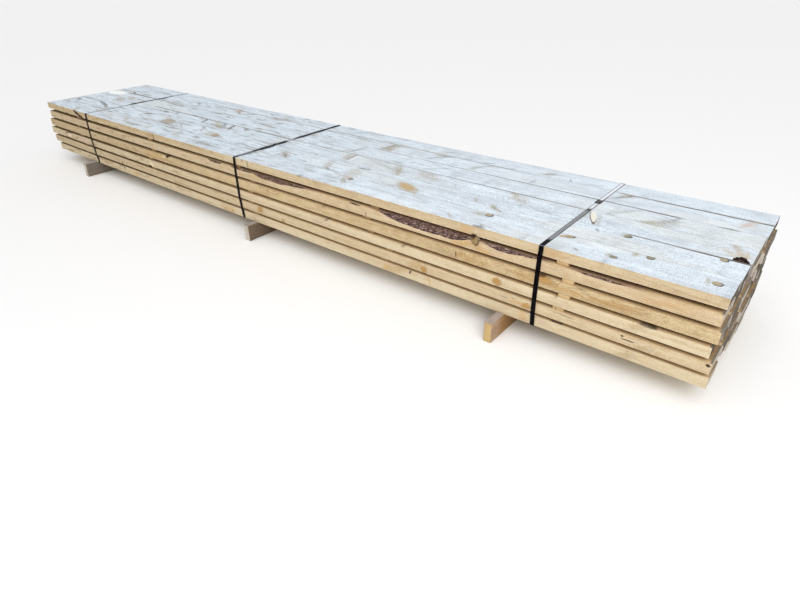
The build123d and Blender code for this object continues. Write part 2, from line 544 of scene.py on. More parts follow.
@dataclass(frozen=True)
class SawnWood:
    """Rough-sawn wood with rings round one heart line, so that all of its faces agree.

    Args:
        name: Name of the material.
        centre: Middle of the piece.
        size: Its length along the grain, its width and its thickness.
        heart: Where the log's heart lies from the middle, sideways and up.
        seed: Start of its patterns.
        early: Colour of the pale part of a ring.
        late: Colour of the dark part of a ring.
        bleached: How far the sun has bleached the top face, with the sky's blue cast painted in.
        along_y: Whether the grain runs along Y and not along X.
        rough: Strength of the saw marks.
        marks: Its knots and stains.
        seams: Where its long upper edges get dirt and painted seam shade.
        gap_shaded: Whether its top and its underside get painted shade, as faces between layers.
        side_shaded: Whether its front and back sides, which touch a neighbour, get painted shade.
        ends: Pale and dark colours of its end faces.
        dusty: How grey its top face is with dust.
        golden: How golden its sides are away from its front end.
    """

    name: str
    centre: Triple
    size: Triple
    heart: tuple[float, float]
    seed: float
    early: Triple = tint(222, 196, 152)
    late: Triple = tint(196, 158, 108)
    bleached: float = 0.0
    along_y: bool = False
    rough: float = 1.0
    marks: tuple[Mark, ...] = ()
    seams: tuple[Seam, ...] = ()
    gap_shaded: tuple[bool, bool] = (False, False)
    side_shaded: tuple[bool, bool] = (False, False)
    ends: tuple[Triple, Triple] = (tint(168, 160, 148), tint(112, 104, 94))
    dusty: float = 0.0
    golden: float = 0.0

    def material(self) -> bpy.types.Material:
        """Builds the node tree.

        Returns:
            The finished material.
        """
        g = Graph(self.name)
        local = g.place - self.centre
        if self.along_y:
            turned = g.split(local)
            sockets = {0: turned[1], 1: turned[0], 2: turned[2]}
            local = g.node("ShaderNodeCombineXYZ", {}, sockets)
        facing = g.split(g.facing)
        end = g.step(abs(facing[1 if self.along_y else 0]), *SIDEWAYS)
        top = g.step(facing[2], *UPWARD)

        survey = self._survey(g)
        heart = self._heart(g, local)
        radius = g.length(heart) + survey.swing
        radius = radius + self._pattern(g, Pattern.RIPPLE, local) * 0.0022
        year = g.math("FRACT", radius * (1 / RING))
        late = g.step(year, 0.35, 0.92) * g.step(year, 1.0, 0.93)

        fibre = self._pattern(g, Pattern.FIBRE, local)
        fuzz = self._pattern(g, Pattern.FUZZ, local)
        streak = self._pattern(g, Pattern.STREAK, local)
        cloud = self._pattern(g, Pattern.CLOUD, local)
        mottle = self._pattern(g, Pattern.MOTTLE, local)
        saw = self._saw_marks(g, local)

        late = late * (survey.near * 0.6 + 0.4) if self.marks else late * 0.4
        share = late * 0.7 + (streak - 0.5) * 1.1 + (fibre - 0.5) * 1.1 + 0.2
        share = share + (fuzz - 0.5) * (1.5 * self.rough) + (mottle - 0.5) * (0.9 * self.rough)
        colour = g.mix(share, self.early, self.late)
        colour = g.mix(g.step(cloud, 0.55, 0.8) * 0.35, colour, CLOUD_TAN)
        # Painted shade that deepens towards the left end
        far = self._far(g)
        colour = g.mix(far * 0.22, colour, LEFT_SHADE_BLEACHED if self.bleached else LEFT_SHADE_BARE)
        flecks = g.step(self._pattern(g, Pattern.FLECKS), 0.55, 0.66)
        colour = g.mix(flecks * g.scaled(far, 0.42, 0.12), colour, FLECK_BROWN)
        if self.bleached:
            # Sun-bleached grey with the sky light's blue cast painted in
            worn = self._bleached_with_sky_cast(g, late, streak, fuzz, mottle, fibre, saw)
            colour = g.mix(top * self.bleached, colour, worn)
            # Dirt with painted shade along the top's gaping seams
            for seam in self.seams:
                colour = g.mix(self._seam_dirt_and_shade(g, local, seam) * top, colour, SEAM_SHADE_AND_DIRT)
        if self.golden:
            front = -self.size[0] / 2
            inward = g.step(g.split(local)[0], front + 0.035, front + 0.11, self.golden)
            colour = g.mix(inward, colour, g.mix(streak, *GOLDEN))
        if self.dusty:
            colour = g.mix(top * self.dusty, colour, g.mix(mottle, *DUST))
        colour = g.mix(saw * 0.1, colour, SAW_BROWN)
        colour = self._painted_gap_shade(g, colour, local, facing, mottle)
        colour = self._stained(g, colour, survey)
        colour = g.mix(end, colour, self._end_grain(g, heart, late, cloud, fibre))

        height = late * 0.3 + fibre * 0.3 + fuzz * 0.35 + saw * 0.5 * self.rough
        height = height * g.scaled(end, -0.8, 1.0)
        bump = g.bump(height, 0.6, 0.0012)
        roughness = 0.74 + fibre * 0.2
        return g.finish(
            Base_Color=colour, Roughness=roughness, Specular_IOR_Level=0.2, Normal=bump
        )

    def _pattern(
        self, g: Graph, pattern: Pattern, vector: Signal | None = None, output: str = "Fac"
    ) -> Signal:
        """One pattern of the wood.

        Args:
            g: The material's graph.
            pattern: Which pattern.
            vector: Where it is read, or None for the stack's own frame.
            output: Fac for one value or Color for three.

        Returns:
            The noise, from 0 to 1.
        """
        weave = pattern.value
        seed = weave.shift if weave.shared else self.seed + weave.shift
        return g.grain(vector or g.place, weave.waves, seed, weave.detail, output)

    def _far(self, g: Graph) -> Signal:
        """How far to the left a spot lies: 0 on the right and 1 near the left end."""
        return g.step(g.split(g.place)[0], 0.8, -1.9)

    def _painted_gap_shade(
        self,
        g: Graph,
        colour: Signal,
        local: Signal,
        facing: tuple[Signal, Signal, Signal],
        mottle: Signal,
    ) -> Signal:
        """The colour with painted shade between layers and planks, and dust near the ends.

        Args:
            g: The material's graph.
            colour: The colour so far.
            local: The point from the piece's middle.
            facing: The three parts of the face's direction.
            mottle: A pattern that mixes each pair of colours.

        Returns:
            The colour with its painted shade.
        """
        if not any((*self.gap_shaded, *self.side_shaded)):
            return colour
        along, across, up = g.split(local)
        tip_start = self.size[0] / 2 - 0.03
        tip = g.step(abs(along), tip_start + 0.018, tip_start + 0.026)
        dust, dark, lit = (g.mix(mottle, *pair) for pair in (GAP_TIP, GAP_SHADE, GAP_LIT))
        front = self.size[1] / 2
        # Painted shade deep in a gap, painted light on the strip by its front edge, painted shade
        # deepening to the left
        floor = g.mix(g.step(across, 0.04 - front, 0.012 - front), dark, lit)
        floor = g.mix(self._far(g) * 0.75, floor, GAP_LEFT_SHADE)
        floor = g.mix(tip, floor, dust)
        # Painted shade on the side faces, with an unshaded colour near the ends and, on the top
        # layer, just below the top
        wall = g.mix(g.step(abs(along), tip_start, tip_start + 0.012), WALL_SHADE, WALL_TIP)
        if not self.gap_shaded[0]:
            roof = self.size[2] / 2
            wall = g.mix(g.step(up, roof - 0.009, roof - 0.002), wall, WALL_RIM)
        faces = (
            (self.gap_shaded[0], g.step(facing[2], *UPWARD), floor),
            (self.gap_shaded[1], g.step(facing[2], *DOWNWARD), dark),
            (self.side_shaded[0], g.step(facing[1], *FORWARD), wall),
            (self.side_shaded[1], g.step(facing[1], *SIDEWAYS), wall),
        )
        for hidden, face, shade in faces:
            if hidden:
                colour = g.mix(face, colour, shade)
        return colour

    def _heart(self, g: Graph, local: Signal) -> Signal:
        """Vector from the log's wandering heart line to the point, square to the grain.

        Args:
            g: The material's graph.
            local: The point from the piece's middle.

        Returns:
            The vector.
        """
        wander = self._pattern(g, Pattern.WANDER, local, "Color")
        flat = local * (0.0, 1.0, 1.0) - (0.0, self.heart[0], self.heart[1])
        return flat + (wander - 0.5) * (0.0, 0.05, 0.05)

    def _survey(self, g: Graph) -> Survey:
        """Finds how far every mark is away.

        Args:
            g: The material's graph.

        Returns:
            The survey of all marks.
        """
        survey = Survey()
        if not self.marks:
            return survey
        wobble = self._pattern(g, Pattern.WOBBLE, output="Color") - 0.5
        deep = TOP_DEPTH if self.bleached else GAP_DEPTH
        for number, mark in enumerate(self.marks):
            tone = mark.kind.value
            x = LEFT_END + mark.x / 1000
            if mark.upright:
                at = (x, self.centre[1] - self.size[1] / 2, UNDERSIDE + mark.across / 1000)
                angles = (0.0, -math.radians(mark.turn), 0.0)
                radii = (mark.long / 1000, FRONT_DEPTH, mark.wide / 1000)
            else:
                at = (x, FRONT_LINE + mark.across / 1000, self.centre[2] + self.size[2] / 2)
                angles = (0.0, 0.0, math.radians(mark.turn))
                radii = (mark.long / 1000, mark.wide / 1000, deep)
            # Each mark hangs by next to nothing on the one before, so that the renderer works
            # them out in turn and its small memory holds them all
            tied = g.scaled(survey.near, 1e-9, g.place) if number else g.place
            sway = min(0.012, mark.wide * 0.0005 + 0.001)
            level = sway if mark.upright or self.bleached else 0.0
            place = g.scaled(wobble, (sway, sway, level), tied)
            sockets = {"Vector": place, "Location": at, "Rotation": angles, "Scale": radii}
            mapped = g.node("ShaderNodeMapping", {"vector_type": "TEXTURE"}, sockets)
            drawn = (1.1, 1.1, 5.0) if mark.upright else (1.1, 5.0, 1.1)
            ragged = g.grain(mapped, drawn, self.seed + number * 1.9, 3.0)
            spot = Spot(mark, g.scaled(ragged, tone.ragged, g.length(mapped)))
            if tone.rim:
                sides = g.split(mapped)
                leaning = g.scaled(sides[0], 0.26, spot.distance)
                spot.leaning = g.scaled(sides[2 if mark.upright else 1], -0.22, leaning)
            mean = tone.ragged / 2
            swell = g.step(spot.distance, SWING_ENDS + mean, SWING_FULL + mean)
            survey.near = swell + survey.near if number else swell
            if tone.lift:
                lift = tone.lift * min(1.0, mark.wide / 18)
                survey.swing = g.scaled(swell, lift, survey.swing)
            survey.spots.append(spot)
        return survey

    def _stained(self, g: Graph, colour: Signal, survey: Survey) -> Signal:
        """The colour with all marks laid over it.

        Args:
            g: The material's graph.
            colour: The colour so far.
            survey: Where the marks are.

        Returns:
            The marked colour.
        """
        if not survey.spots:
            return colour
        patchy = g.step(self._pattern(g, Pattern.PATCHY), 0.36, 0.6)
        bare = {
            broken: g.scaled(patchy, broken, 1.0 - broken)
            for broken in {0.25, *(spot.mark.kind.value.broken for spot in survey.spots)}
        }
        for spot in survey.spots:
            mark, tone = spot.mark, spot.mark.kind.value
            strength = min(1.0, mark.strength * (LEFT_BOOST if mark.x < LEFT_PART else 1.0))
            edge = 1.0 + tone.ragged / 2
            share = bare[tone.broken]
            if tone.rings:
                phase = spot.distance * (tone.rings * math.tau)
                swing = 0.5 if tone.rim is None else 0.3
                share = share * g.scaled(g.wave(phase), swing, 1.0 - swing)
            if tone.rim:
                rim = g.step(spot.distance, edge + tone.soft, edge, strength)
                colour = g.mix(rim * share, colour, tone.rim)
                core = g.step(spot.leaning, edge - 0.1, edge - 0.1 - tone.soft, strength)
                colour = g.mix(core * bare[0.25], colour, tone.core)
            else:
                whole = g.step(spot.distance, edge + tone.soft, edge - tone.soft, strength)
                colour = g.mix(whole * share, colour, tone.core)
        return colour

    def _bleached_with_sky_cast(
        self,
        g: Graph,
        late: Signal,
        streak: Signal,
        fuzz: Signal,
        mottle: Signal,
        fibre: Signal,
        saw: Signal,
    ) -> Signal:
        """Colour of a face that the sun has bleached, with the sky light's blue cast painted in.

        Args:
            g: The material's graph.
            late: Where the dark part of a ring is.
            streak: Long streaks.
            fuzz: Torn fibres.
            mottle: Small patches.
            fibre: Fine fibres.
            saw: The saw's ridges.

        Returns:
            The bleached colour.
        """
        share = late * 0.3 + (streak - 0.5) * 0.5 + (fuzz - 0.5) * 1.9 + (mottle - 0.5) * 0.6
        share = share + (fibre - 0.5) * 0.7 + saw * 0.18 + 0.25
        # Bleached grey with the sky light's blue cast painted in
        pale = g.mix(share, *SUN_GREY_AND_SKY_CAST)
        warm = g.step(self._pattern(g, Pattern.WARM), 0.5, 0.72)
        pale = g.mix(warm * 0.4, pale, SUN_WARM)
        cool = g.step(self._pattern(g, Pattern.COOL), 0.52, 0.7)
        pale = g.mix(cool * 0.35, pale, SUN_COOL)
        # Painted shade that deepens towards the left end
        far = g.step(g.split(g.place)[0], 1.6, -0.8)
        pale = g.mix(far * 0.16, pale, SUN_LEFT_SHADE)
        dashes = g.step(self._pattern(g, Pattern.DASHES), 0.57, 0.68)
        pale = g.mix(dashes * g.scaled(far, 0.6, 0.2), pale, SUN_DASH)
        stains = g.step(self._pattern(g, Pattern.STAINS), 0.57, 0.66)
        return g.mix(stains * g.scaled(far, 0.6, 0.04), pale, SUN_STAIN)

    def _seam_dirt_and_shade(self, g: Graph, local: Signal, seam: Seam) -> Signal:
        """Share of dirt and painted seam shade along a gaping stretch of one long edge.

        Args:
            g: The material's graph.
            local: The point from the piece's middle.
            seam: The stretch.

        Returns:
            The share, from 0 to 1.
        """
        along, across, _ = g.split(local)
        edge = self.size[1] / 2
        away = max(0.0, 4700 - (seam.start + seam.end) / 2) / 1000
        reach = 0.0016 + 0.0015 * away
        near_edge = g.step(across * float(seam.side), edge - reach, edge - 0.3 * reach)
        middle = LEFT_END + (seam.start + seam.end) / 2000 - self.centre[0]
        half = (seam.end - seam.start) / 2000
        inside = g.step(abs(along - middle), half + 0.03, half - 0.03)
        patches = g.step(self._pattern(g, Pattern.SEAM_SPOTS, local), 0.3, 0.6)
        return near_edge * inside * (patches * 0.4 + 0.6)

    def _saw_marks(self, g: Graph, local: Signal) -> Signal:
        """Fine ridges that the saw left square to the grain, in patches.

        Args:
            g: The material's graph.
            local: The point from the piece's middle.

        Returns:
            The ridges' height, from 0 to 1.
        """
        sway = self._pattern(g, Pattern.SAW_SWAY, local)
        along, across, up = g.split(local)
        phase = along * (1 / SAW_PITCH) + (across + up) * 22.0 + sway * 8.0
        wave = g.wave(phase * math.tau)
        patches = self._pattern(g, Pattern.SAW_PATCHES, local)
        return (wave * 0.5 + 0.5) * g.step(patches, 0.35, 0.7)

    def _end_grain(
        self, g: Graph, heart: Signal, late: Signal, cloud: Signal, fibre: Signal
    ) -> Signal:
        """Colour of a weathered end face, with rings and fine checks that point to the heart.

        Args:
            g: The material's graph.
            heart: Vector from the heart line to the point.
            late: Where the dark part of a ring is.
            cloud: Wide patches.
            fibre: Fine fibres.

        Returns:
            The end's colour.
        """
        _, side, up = g.split(heart)
        angle = g.math("ARCTAN2", up, side)
        sockets = {"W": angle * 22.0 + self.seed, "Scale": 1.0, "Detail": 2.0}
        spread = g.node("ShaderNodeTexNoise", {"noise_dimensions": "1D"}, sockets)
        checks = g.step(abs(spread - 0.5), 0.018, 0.0, 0.8) * g.step(cloud, 0.42, 0.6)
        pale = g.mix(late * 0.7 + (fibre - 0.5), *self.ends)
        grey = g.mix(g.step(cloud, 0.3, 0.7) * 0.6, pale, self.ends[1])
        return g.mix(checks, grey, CHECK_BROWN)


@dataclass(frozen=True)
class Bark:
    """Flaking purple-brown bark left on the round of the log.

    Args:
        name: Name of the material.
        hollow_shade: How far it is darkened with painted shade, as the lining of a hollow.
    """

    name: str = "bark"
    hollow_shade: float = 0.0

    def material(self) -> bpy.types.Material:
        """Builds the node tree.

        Returns:
            The finished material.
        """
        g = Graph(self.name)
        flakes = g.grain(g.place, (80.0, 180.0, 180.0), 2.0, 6.0)
        strands = g.grain(g.place, (34.0, 460.0, 460.0), 7.0, 4.0)
        patches = g.grain(g.place, (11.0, 32.0, 32.0), 5.0, 3.0)
        stops = [
            (0.39, tint(28, 18, 17)),
            (0.47, tint(76, 57, 54)),
            (0.57, tint(126, 101, 95)),
            (0.66, tint(194, 170, 158)),
        ]
        depth = flakes * 0.75 + strands * 0.25
        colour = g.node("ShaderNodeValToRGB", {"stops": stops}, {0: depth})
        colour = g.mix(g.step(patches, 0.6, 0.74) * 0.35, colour, tint(140, 116, 90))
        along, across, _ = g.split(g.place)
        tan = g.step(along, 0.55, 0.3) * 0.3
        colour = g.mix(tan, colour, tint(122, 96, 66))
        # Painted light on the bark under the front edge of the layer above, but not in a hollow
        if not self.hollow_shade:
            under = g.step(across, FRONT_LINE - 0.008, FRONT_LINE + 0.004) * 0.25
            colour = g.mix(under, colour, tint(160, 126, 108))
        # Painted shade that darkens bark lining a hollow
        colour = g.mix(self.hollow_shade, colour, tint(16, 11, 10))
        height = flakes * 0.7 + strands * 0.3
        bump = g.bump(height, 0.8, 0.004)
        return g.finish(Base_Color=colour, Roughness=0.9, Specular_IOR_Level=0.2, Normal=bump)


@dataclass(frozen=True)
class Sheen:
    """A stretch of strap on top of the stack with a painted reflection of the sky.

    Args:
        start: Where it starts, in millimetres from the stack's front.
        end: Where it ends.
        strength: How bright it is.
    """

    start: float
    end: float
    strength: float


@dataclass(frozen=True)
class Strapping:
    """Smooth black strap with faint rolled lines, dust, painted glints and painted sky
    reflections.

    Args:
        name: Name of the material.
        middle: Where its middle line lies along the planks.
        half: Half its width.
        sheens: Where a reflection of the sky is painted on its top.
    """

    name: str
    middle: float
    half: float
    sheens: tuple[Sheen, ...]

    def material(self) -> bpy.types.Material:
        """Builds the node tree.

        Returns:
            The finished material.
        """
        g = Graph(self.name)
        scuffs = g.grain(g.place, (60.0, 60.0, 60.0), 1.0, 4.0)
        lines = g.grain(g.place, (900.0, 8.0, 8.0), 4.0, 2.0)
        along, across, _ = g.split(g.place)
        rise = g.split(g.facing)[2]
        top = g.step(rise, 0.8, 0.95)
        dust = g.step(scuffs, 0.5, 0.72)
        colour = g.mix(dust * 0.12, tint(4, 2, 4), tint(80, 76, 78))
        # Painted glint where the strap bends over an edge
        painted_bend_glint = g.step(rise, 0.25, 0.5) * g.step(rise, 0.98, 0.85)
        colour = g.mix(painted_bend_glint * (0.35 + scuffs * 0.4), colour, tint(176, 184, 216))
        inner = g.step(abs(along - self.middle), self.half * 0.92, self.half * 0.66)
        # Painted reflection of the sky on the top, away from the strap's edges
        for sheen in self.sheens:
            middle = FRONT_LINE + (sheen.start + sheen.end) / 2000
            reach = (sheen.end - sheen.start) / 2000
            there = g.step(abs(across - middle), reach + 0.015, reach - 0.015)
            share = there * inner * top * (sheen.strength * 0.8 + scuffs * 0.4 * sheen.strength)
            colour = g.mix(share, colour, tint(228, 232, 238))
        roughness = 0.42 + dust * 0.3 + (lines - 0.5) * 0.12
        height = lines * 0.5 + scuffs * 0.5
        bump = g.bump(height, 0.25, 0.0004)
        return g.finish(
            Base_Color=colour, Roughness=roughness, Specular_IOR_Level=0.04, Normal=bump
        )


@dataclass(frozen=True)
class SealSteel:
    """Dark crimped sheet steel with worn edges."""

    name: str = "seal_steel"

    def material(self) -> bpy.types.Material:
        """Builds the node tree.

        Returns:
            The finished material.
        """
        g = Graph(self.name)
        wear = g.grain(g.place, (140.0, 140.0, 140.0), 3.0, 4.0)
        colour = g.mix(g.step(wear, 0.5, 0.7) * 0.5, tint(52, 53, 56), tint(112, 108, 102))
        roughness = 0.34 + wear * 0.3
        bump = g.bump(wear, 0.3, 0.0004)
        return g.finish(Base_Color=colour, Metallic=0.7, Roughness=roughness, Normal=bump)


# ------------------------------------------------------------------ hand operations


def select_only(piece: bpy.types.Object | None = None) -> None:
    """Deselects everything, and selects the piece alone if there is one.

    Args:
        piece: What is selected and made active, or None for nothing.
    """
    bpy.ops.object.select_all(action="DESELECT")
    if piece:
        piece.select_set(True)
        bpy.context.view_layer.objects.active = piece


def settled() -> bpy.types.Object:
    """The active piece, with its place, turn and scale kept in its mesh."""
    bpy.ops.object.transform_apply(location=True, rotation=True, scale=True)
    return bpy.context.active_object


class Editing:
    """An object in edit mode, with nothing selected at first."""

    def __init__(self, piece: bpy.types.Object) -> None:
        """Takes the piece to be edited."""
        self.piece = piece

    def __enter__(self) -> "Editing":
        """Opens the piece alone.

        Returns:
            This editing, with edges as what is selected.
        """
        select_only(self.piece)
        bpy.ops.object.mode_set(mode="EDIT")
        bpy.context.tool_settings.mesh_select_mode = (False, True, False)
        bpy.ops.mesh.select_all(action="DESELECT")
        return self

    def __exit__(self, *_: object) -> None:
        """Closes the piece."""
        bpy.ops.object.mode_set(mode="OBJECT")

    def edges(self, wanted: Callable[[Vector, Vector], bool]) -> None:
        """Selects the edges whose middle and direction pass the test, and no others.

        Args:
            wanted: The test, which takes an edge's middle and its direction.
        """
        bpy.context.tool_settings.mesh_select_mode = (False, True, False)
        bpy.ops.mesh.select_all(action="DESELECT")
        mesh = bmesh.from_edit_mesh(self.piece.data)
        for edge in mesh.edges:
            first, second = (vertex.co for vertex in edge.verts)
            if wanted((first + second) / 2, (second - first).normalized()):
                edge.select = True
        mesh.select_flush_mode()
        bmesh.update_edit_mesh(self.piece.data)

    def bevel(
        self, wanted: Callable[[Vector, Vector], bool], size: float, segments: int
    ) -> None:
        """Rounds the edges that pass the test.

        Args:
            wanted: The test, which takes an edge's middle and its direction.
            size: Width of the rounding on each face.
            segments: How many faces it has.
        """
        self.edges(wanted)
        bpy.ops.mesh.bevel(offset_type="OFFSET", offset=size, segments=segments, affect="EDGES")

    def push(self, moved: Callable[[Vector], Vector]) -> None:
        """Moves every vertex to the place that the rule gives for it.

        Args:
            moved: The rule, which takes the present place and returns the new one.
        """
        mesh = bmesh.from_edit_mesh(self.piece.data)
        for vertex in mesh.verts:
            vertex.co = moved(vertex.co)
        bmesh.update_edit_mesh(self.piece.data)


class Bench:
    """Steps that every wooden piece goes through."""

    @staticmethod
    def block(name: str, size: Triple) -> bpy.types.Object:
        """A plain block of the given size round the origin.

        Args:
            name: Name of the piece.
            size: Its length along X, Y and Z.

        Returns:
            The block.
        """
        select_only()
        bpy.ops.mesh.primitive_cube_add(size=1.0, scale=size)
        piece = settled()
        piece.name = piece.data.name = name
        return piece

    @staticmethod
    def divide(piece: bpy.types.Object, axis: int, cuts: tuple[int, ...]) -> None:
        """Divides the edges that run along an axis, once for each number of cuts.

        Args:
            piece: The block.
            axis: 0, 1 or 2 for X, Y or Z.
            cuts: The numbers of cuts.
        """
        with Editing(piece) as edit:
            for count in cuts:
                edit.edges(lambda middle, way: abs(way[axis]) > 0.99)
                bpy.ops.mesh.subdivide(number_cuts=count)

    @staticmethod
    def ease(piece: bpy.types.Object, size: Triple, arris: float, segments: int = 2) -> None:
        """Rounds the outer edges of a block.

        Args:
            piece: The block, round the origin.
            size: Its length along X, Y and Z.
            arris: Width of the rounding on each face.
            segments: How many faces the rounding has.
        """

        def outer(middle: Vector, way: Vector) -> bool:
            """Whether an edge lies where two of the block's faces meet."""
            at_limit = [abs(middle[i]) > size[i] / 2 - 1e-5 for i in range(3)]
            return sum(at_limit) >= 2

        with Editing(piece) as edit:
            edit.bevel(outer, arris, segments)

    @staticmethod
    def apply(piece: bpy.types.Object, kind: str, **settings: object) -> None:
        """Adds one modifier with its settings and applies it.

        Args:
            piece: The piece.
            kind: The modifier's type.
            **settings: Its settings by name.
        """
        select_only(piece)
        modifier = piece.modifiers.new(kind.title(), kind)
        for key, value in settings.items():
            setattr(modifier, key, value)
        bpy.ops.object.modifier_apply(modifier=modifier.name)

    @staticmethod
    def place(piece: bpy.types.Object, at: Triple) -> None:
        """Puts the piece in its place and keeps the place in its mesh.

        Args:
            piece: The piece, round the origin.
            at: Its place.
        """
        select_only(piece)
        piece.location = at
        settled()

    @staticmethod
    def combine(
        piece: bpy.types.Object,
        tool: bpy.types.Object,
        operation: str,
        lining: bpy.types.Material | None = None,
        solver: str = "EXACT",
    ) -> None:
        """Joins, cuts or trims a piece by a tool, whose faces leave the lining if it has one.

        Args:
            piece: The piece that stays.
            tool: The piece that is used up.
            operation: UNION, DIFFERENCE or INTERSECT.
            lining: Material of the faces that the tool leaves.
            solver: Which solver works out the cut.
        """
        if lining:
            piece.data.materials.append(lining)
        for face in tool.data.polygons:
            face.material_index = 1 if lining else 0
        for slot in piece.data.materials:
            tool.data.materials.append(slot)
        settings = {"operation": operation, "solver": solver, "material_mode": "INDEX"}
        Bench.apply(piece, "BOOLEAN", object=tool, **settings)
        bpy.data.objects.remove(tool)

    @staticmethod
    def saw_off(piece: bpy.types.Object, at: Triple, outward: Triple) -> None:
        """Saws off what lies outside a plane, and closes the cut.

        Args:
            piece: The piece.
            at: A point of the plane.
            outward: Direction of what goes.
        """
        with Editing(piece):
            bpy.ops.mesh.select_all(action="SELECT")
            bpy.ops.mesh.bisect(plane_co=at, plane_no=outward, use_fill=True, clear_outer=True)

    @staticmethod
    def roughen(piece: bpy.types.Object, depth: float, scale: float) -> None:
        """Sinks the faces unevenly, by depth at the most.

        Args:
            piece: The piece.
            depth: The greatest depth.
            scale: Width of the hollows.
        """
        texture = bpy.data.textures.new(f"unevenness_{scale}", "CLOUDS")
        texture.noise_scale = scale
        texture.noise_depth = 1
        settings = {"texture": texture, "texture_coords": "LOCAL"}
        Bench.apply(piece, "DISPLACE", **settings, strength=depth, mid_level=1.0)

    @staticmethod
    def smooth(piece: bpy.types.Object, degrees: float = 40.0) -> None:
        """Shades the piece smooth, with creases at its sharp edges.

        Args:
            piece: The piece.
            degrees: Least angle of a crease.
        """
        select_only(piece)
        bpy.ops.object.shade_smooth_by_angle(angle=math.radians(degrees))

    @staticmethod
    def hand_over(piece: bpy.types.Object, slot: str, node: str) -> None:
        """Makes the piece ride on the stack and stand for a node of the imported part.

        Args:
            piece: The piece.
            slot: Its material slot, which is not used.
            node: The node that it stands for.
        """
        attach(piece, "root")
        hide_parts(node)
        log.info("%s: %d faces", piece.name, len(piece.data.polygons))


@dataclass(frozen=True)
class Solid:
    """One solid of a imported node, as the box it fills, its bow and its askew right end.

    Args:
        low: Lowest corner of the box it fills.
        high: Highest corner of that box.
        near: Where its front face lies at its ends.
        far: Where its back face lies at its ends.
        skew: How much shorter its back edge is at the right end.
    """

    low: Vector
    high: Vector
    near: float
    far: float
    skew: float

    @property
    def bow(self) -> float:
        """How far the middle lies in front of the ends."""
        return self.near - self.low.y

    @property
    def size(self) -> Triple:
        """Length, width and thickness without the bow."""
        return (self.high.x - self.low.x, self.far - self.near, self.high.z - self.low.z)

    @property
    def middle(self) -> Triple:
        """Middle of the piece, at mid-length."""
        width = self.far - self.near
        return (
            (self.low.x + self.high.x) / 2,
            self.low.y + width / 2,
            (self.low.z + self.high.z) / 2,
        )


def solids_of(node: str) -> list[Solid]:
    """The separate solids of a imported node, from the front to the back and from the top down.

    Args:
        node: Name of the node.

    Returns:
        The solids.
    """
    mesh = bmesh.new()
    mesh.from_mesh(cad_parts[node].data)
    bmesh.ops.remove_doubles(mesh, verts=mesh.verts, dist=1e-6)
    waiting = set(mesh.verts)
    found = []
    while waiting:
        group = [waiting.pop()]
        for vertex in group:
            for edge in vertex.link_edges:
                other = edge.other_vert(vertex)
                if other in waiting:
                    waiting.remove(other)
                    group.append(other)
        spots = [vertex.co.copy() for vertex in group]
        low = Vector([min(spot[i] for spot in spots) for i in range(3)])
        high = Vector([max(spot[i] for spot in spots) for i in range(3)])
        ends = [spot.y for spot in spots if min(spot.x - low.x, high.x - spot.x) < 1e-4]
        back = max(spot.x for spot in spots if spot.y > max(ends) - 2e-3)
        found.append(Solid(low, high, min(ends), max(ends), high.x - back))
    mesh.free()
    return sorted(found, key=lambda solid: (round(-solid.high.z, 3), solid.low.y))


# ------------------------------------------------------------------ the stack


@dataclass(frozen=True)
class WaneStretch:
    """A stretch of plank edge, from start to end along it, cut back by depth, in metres."""

    start: float
    end: float
    depth: float


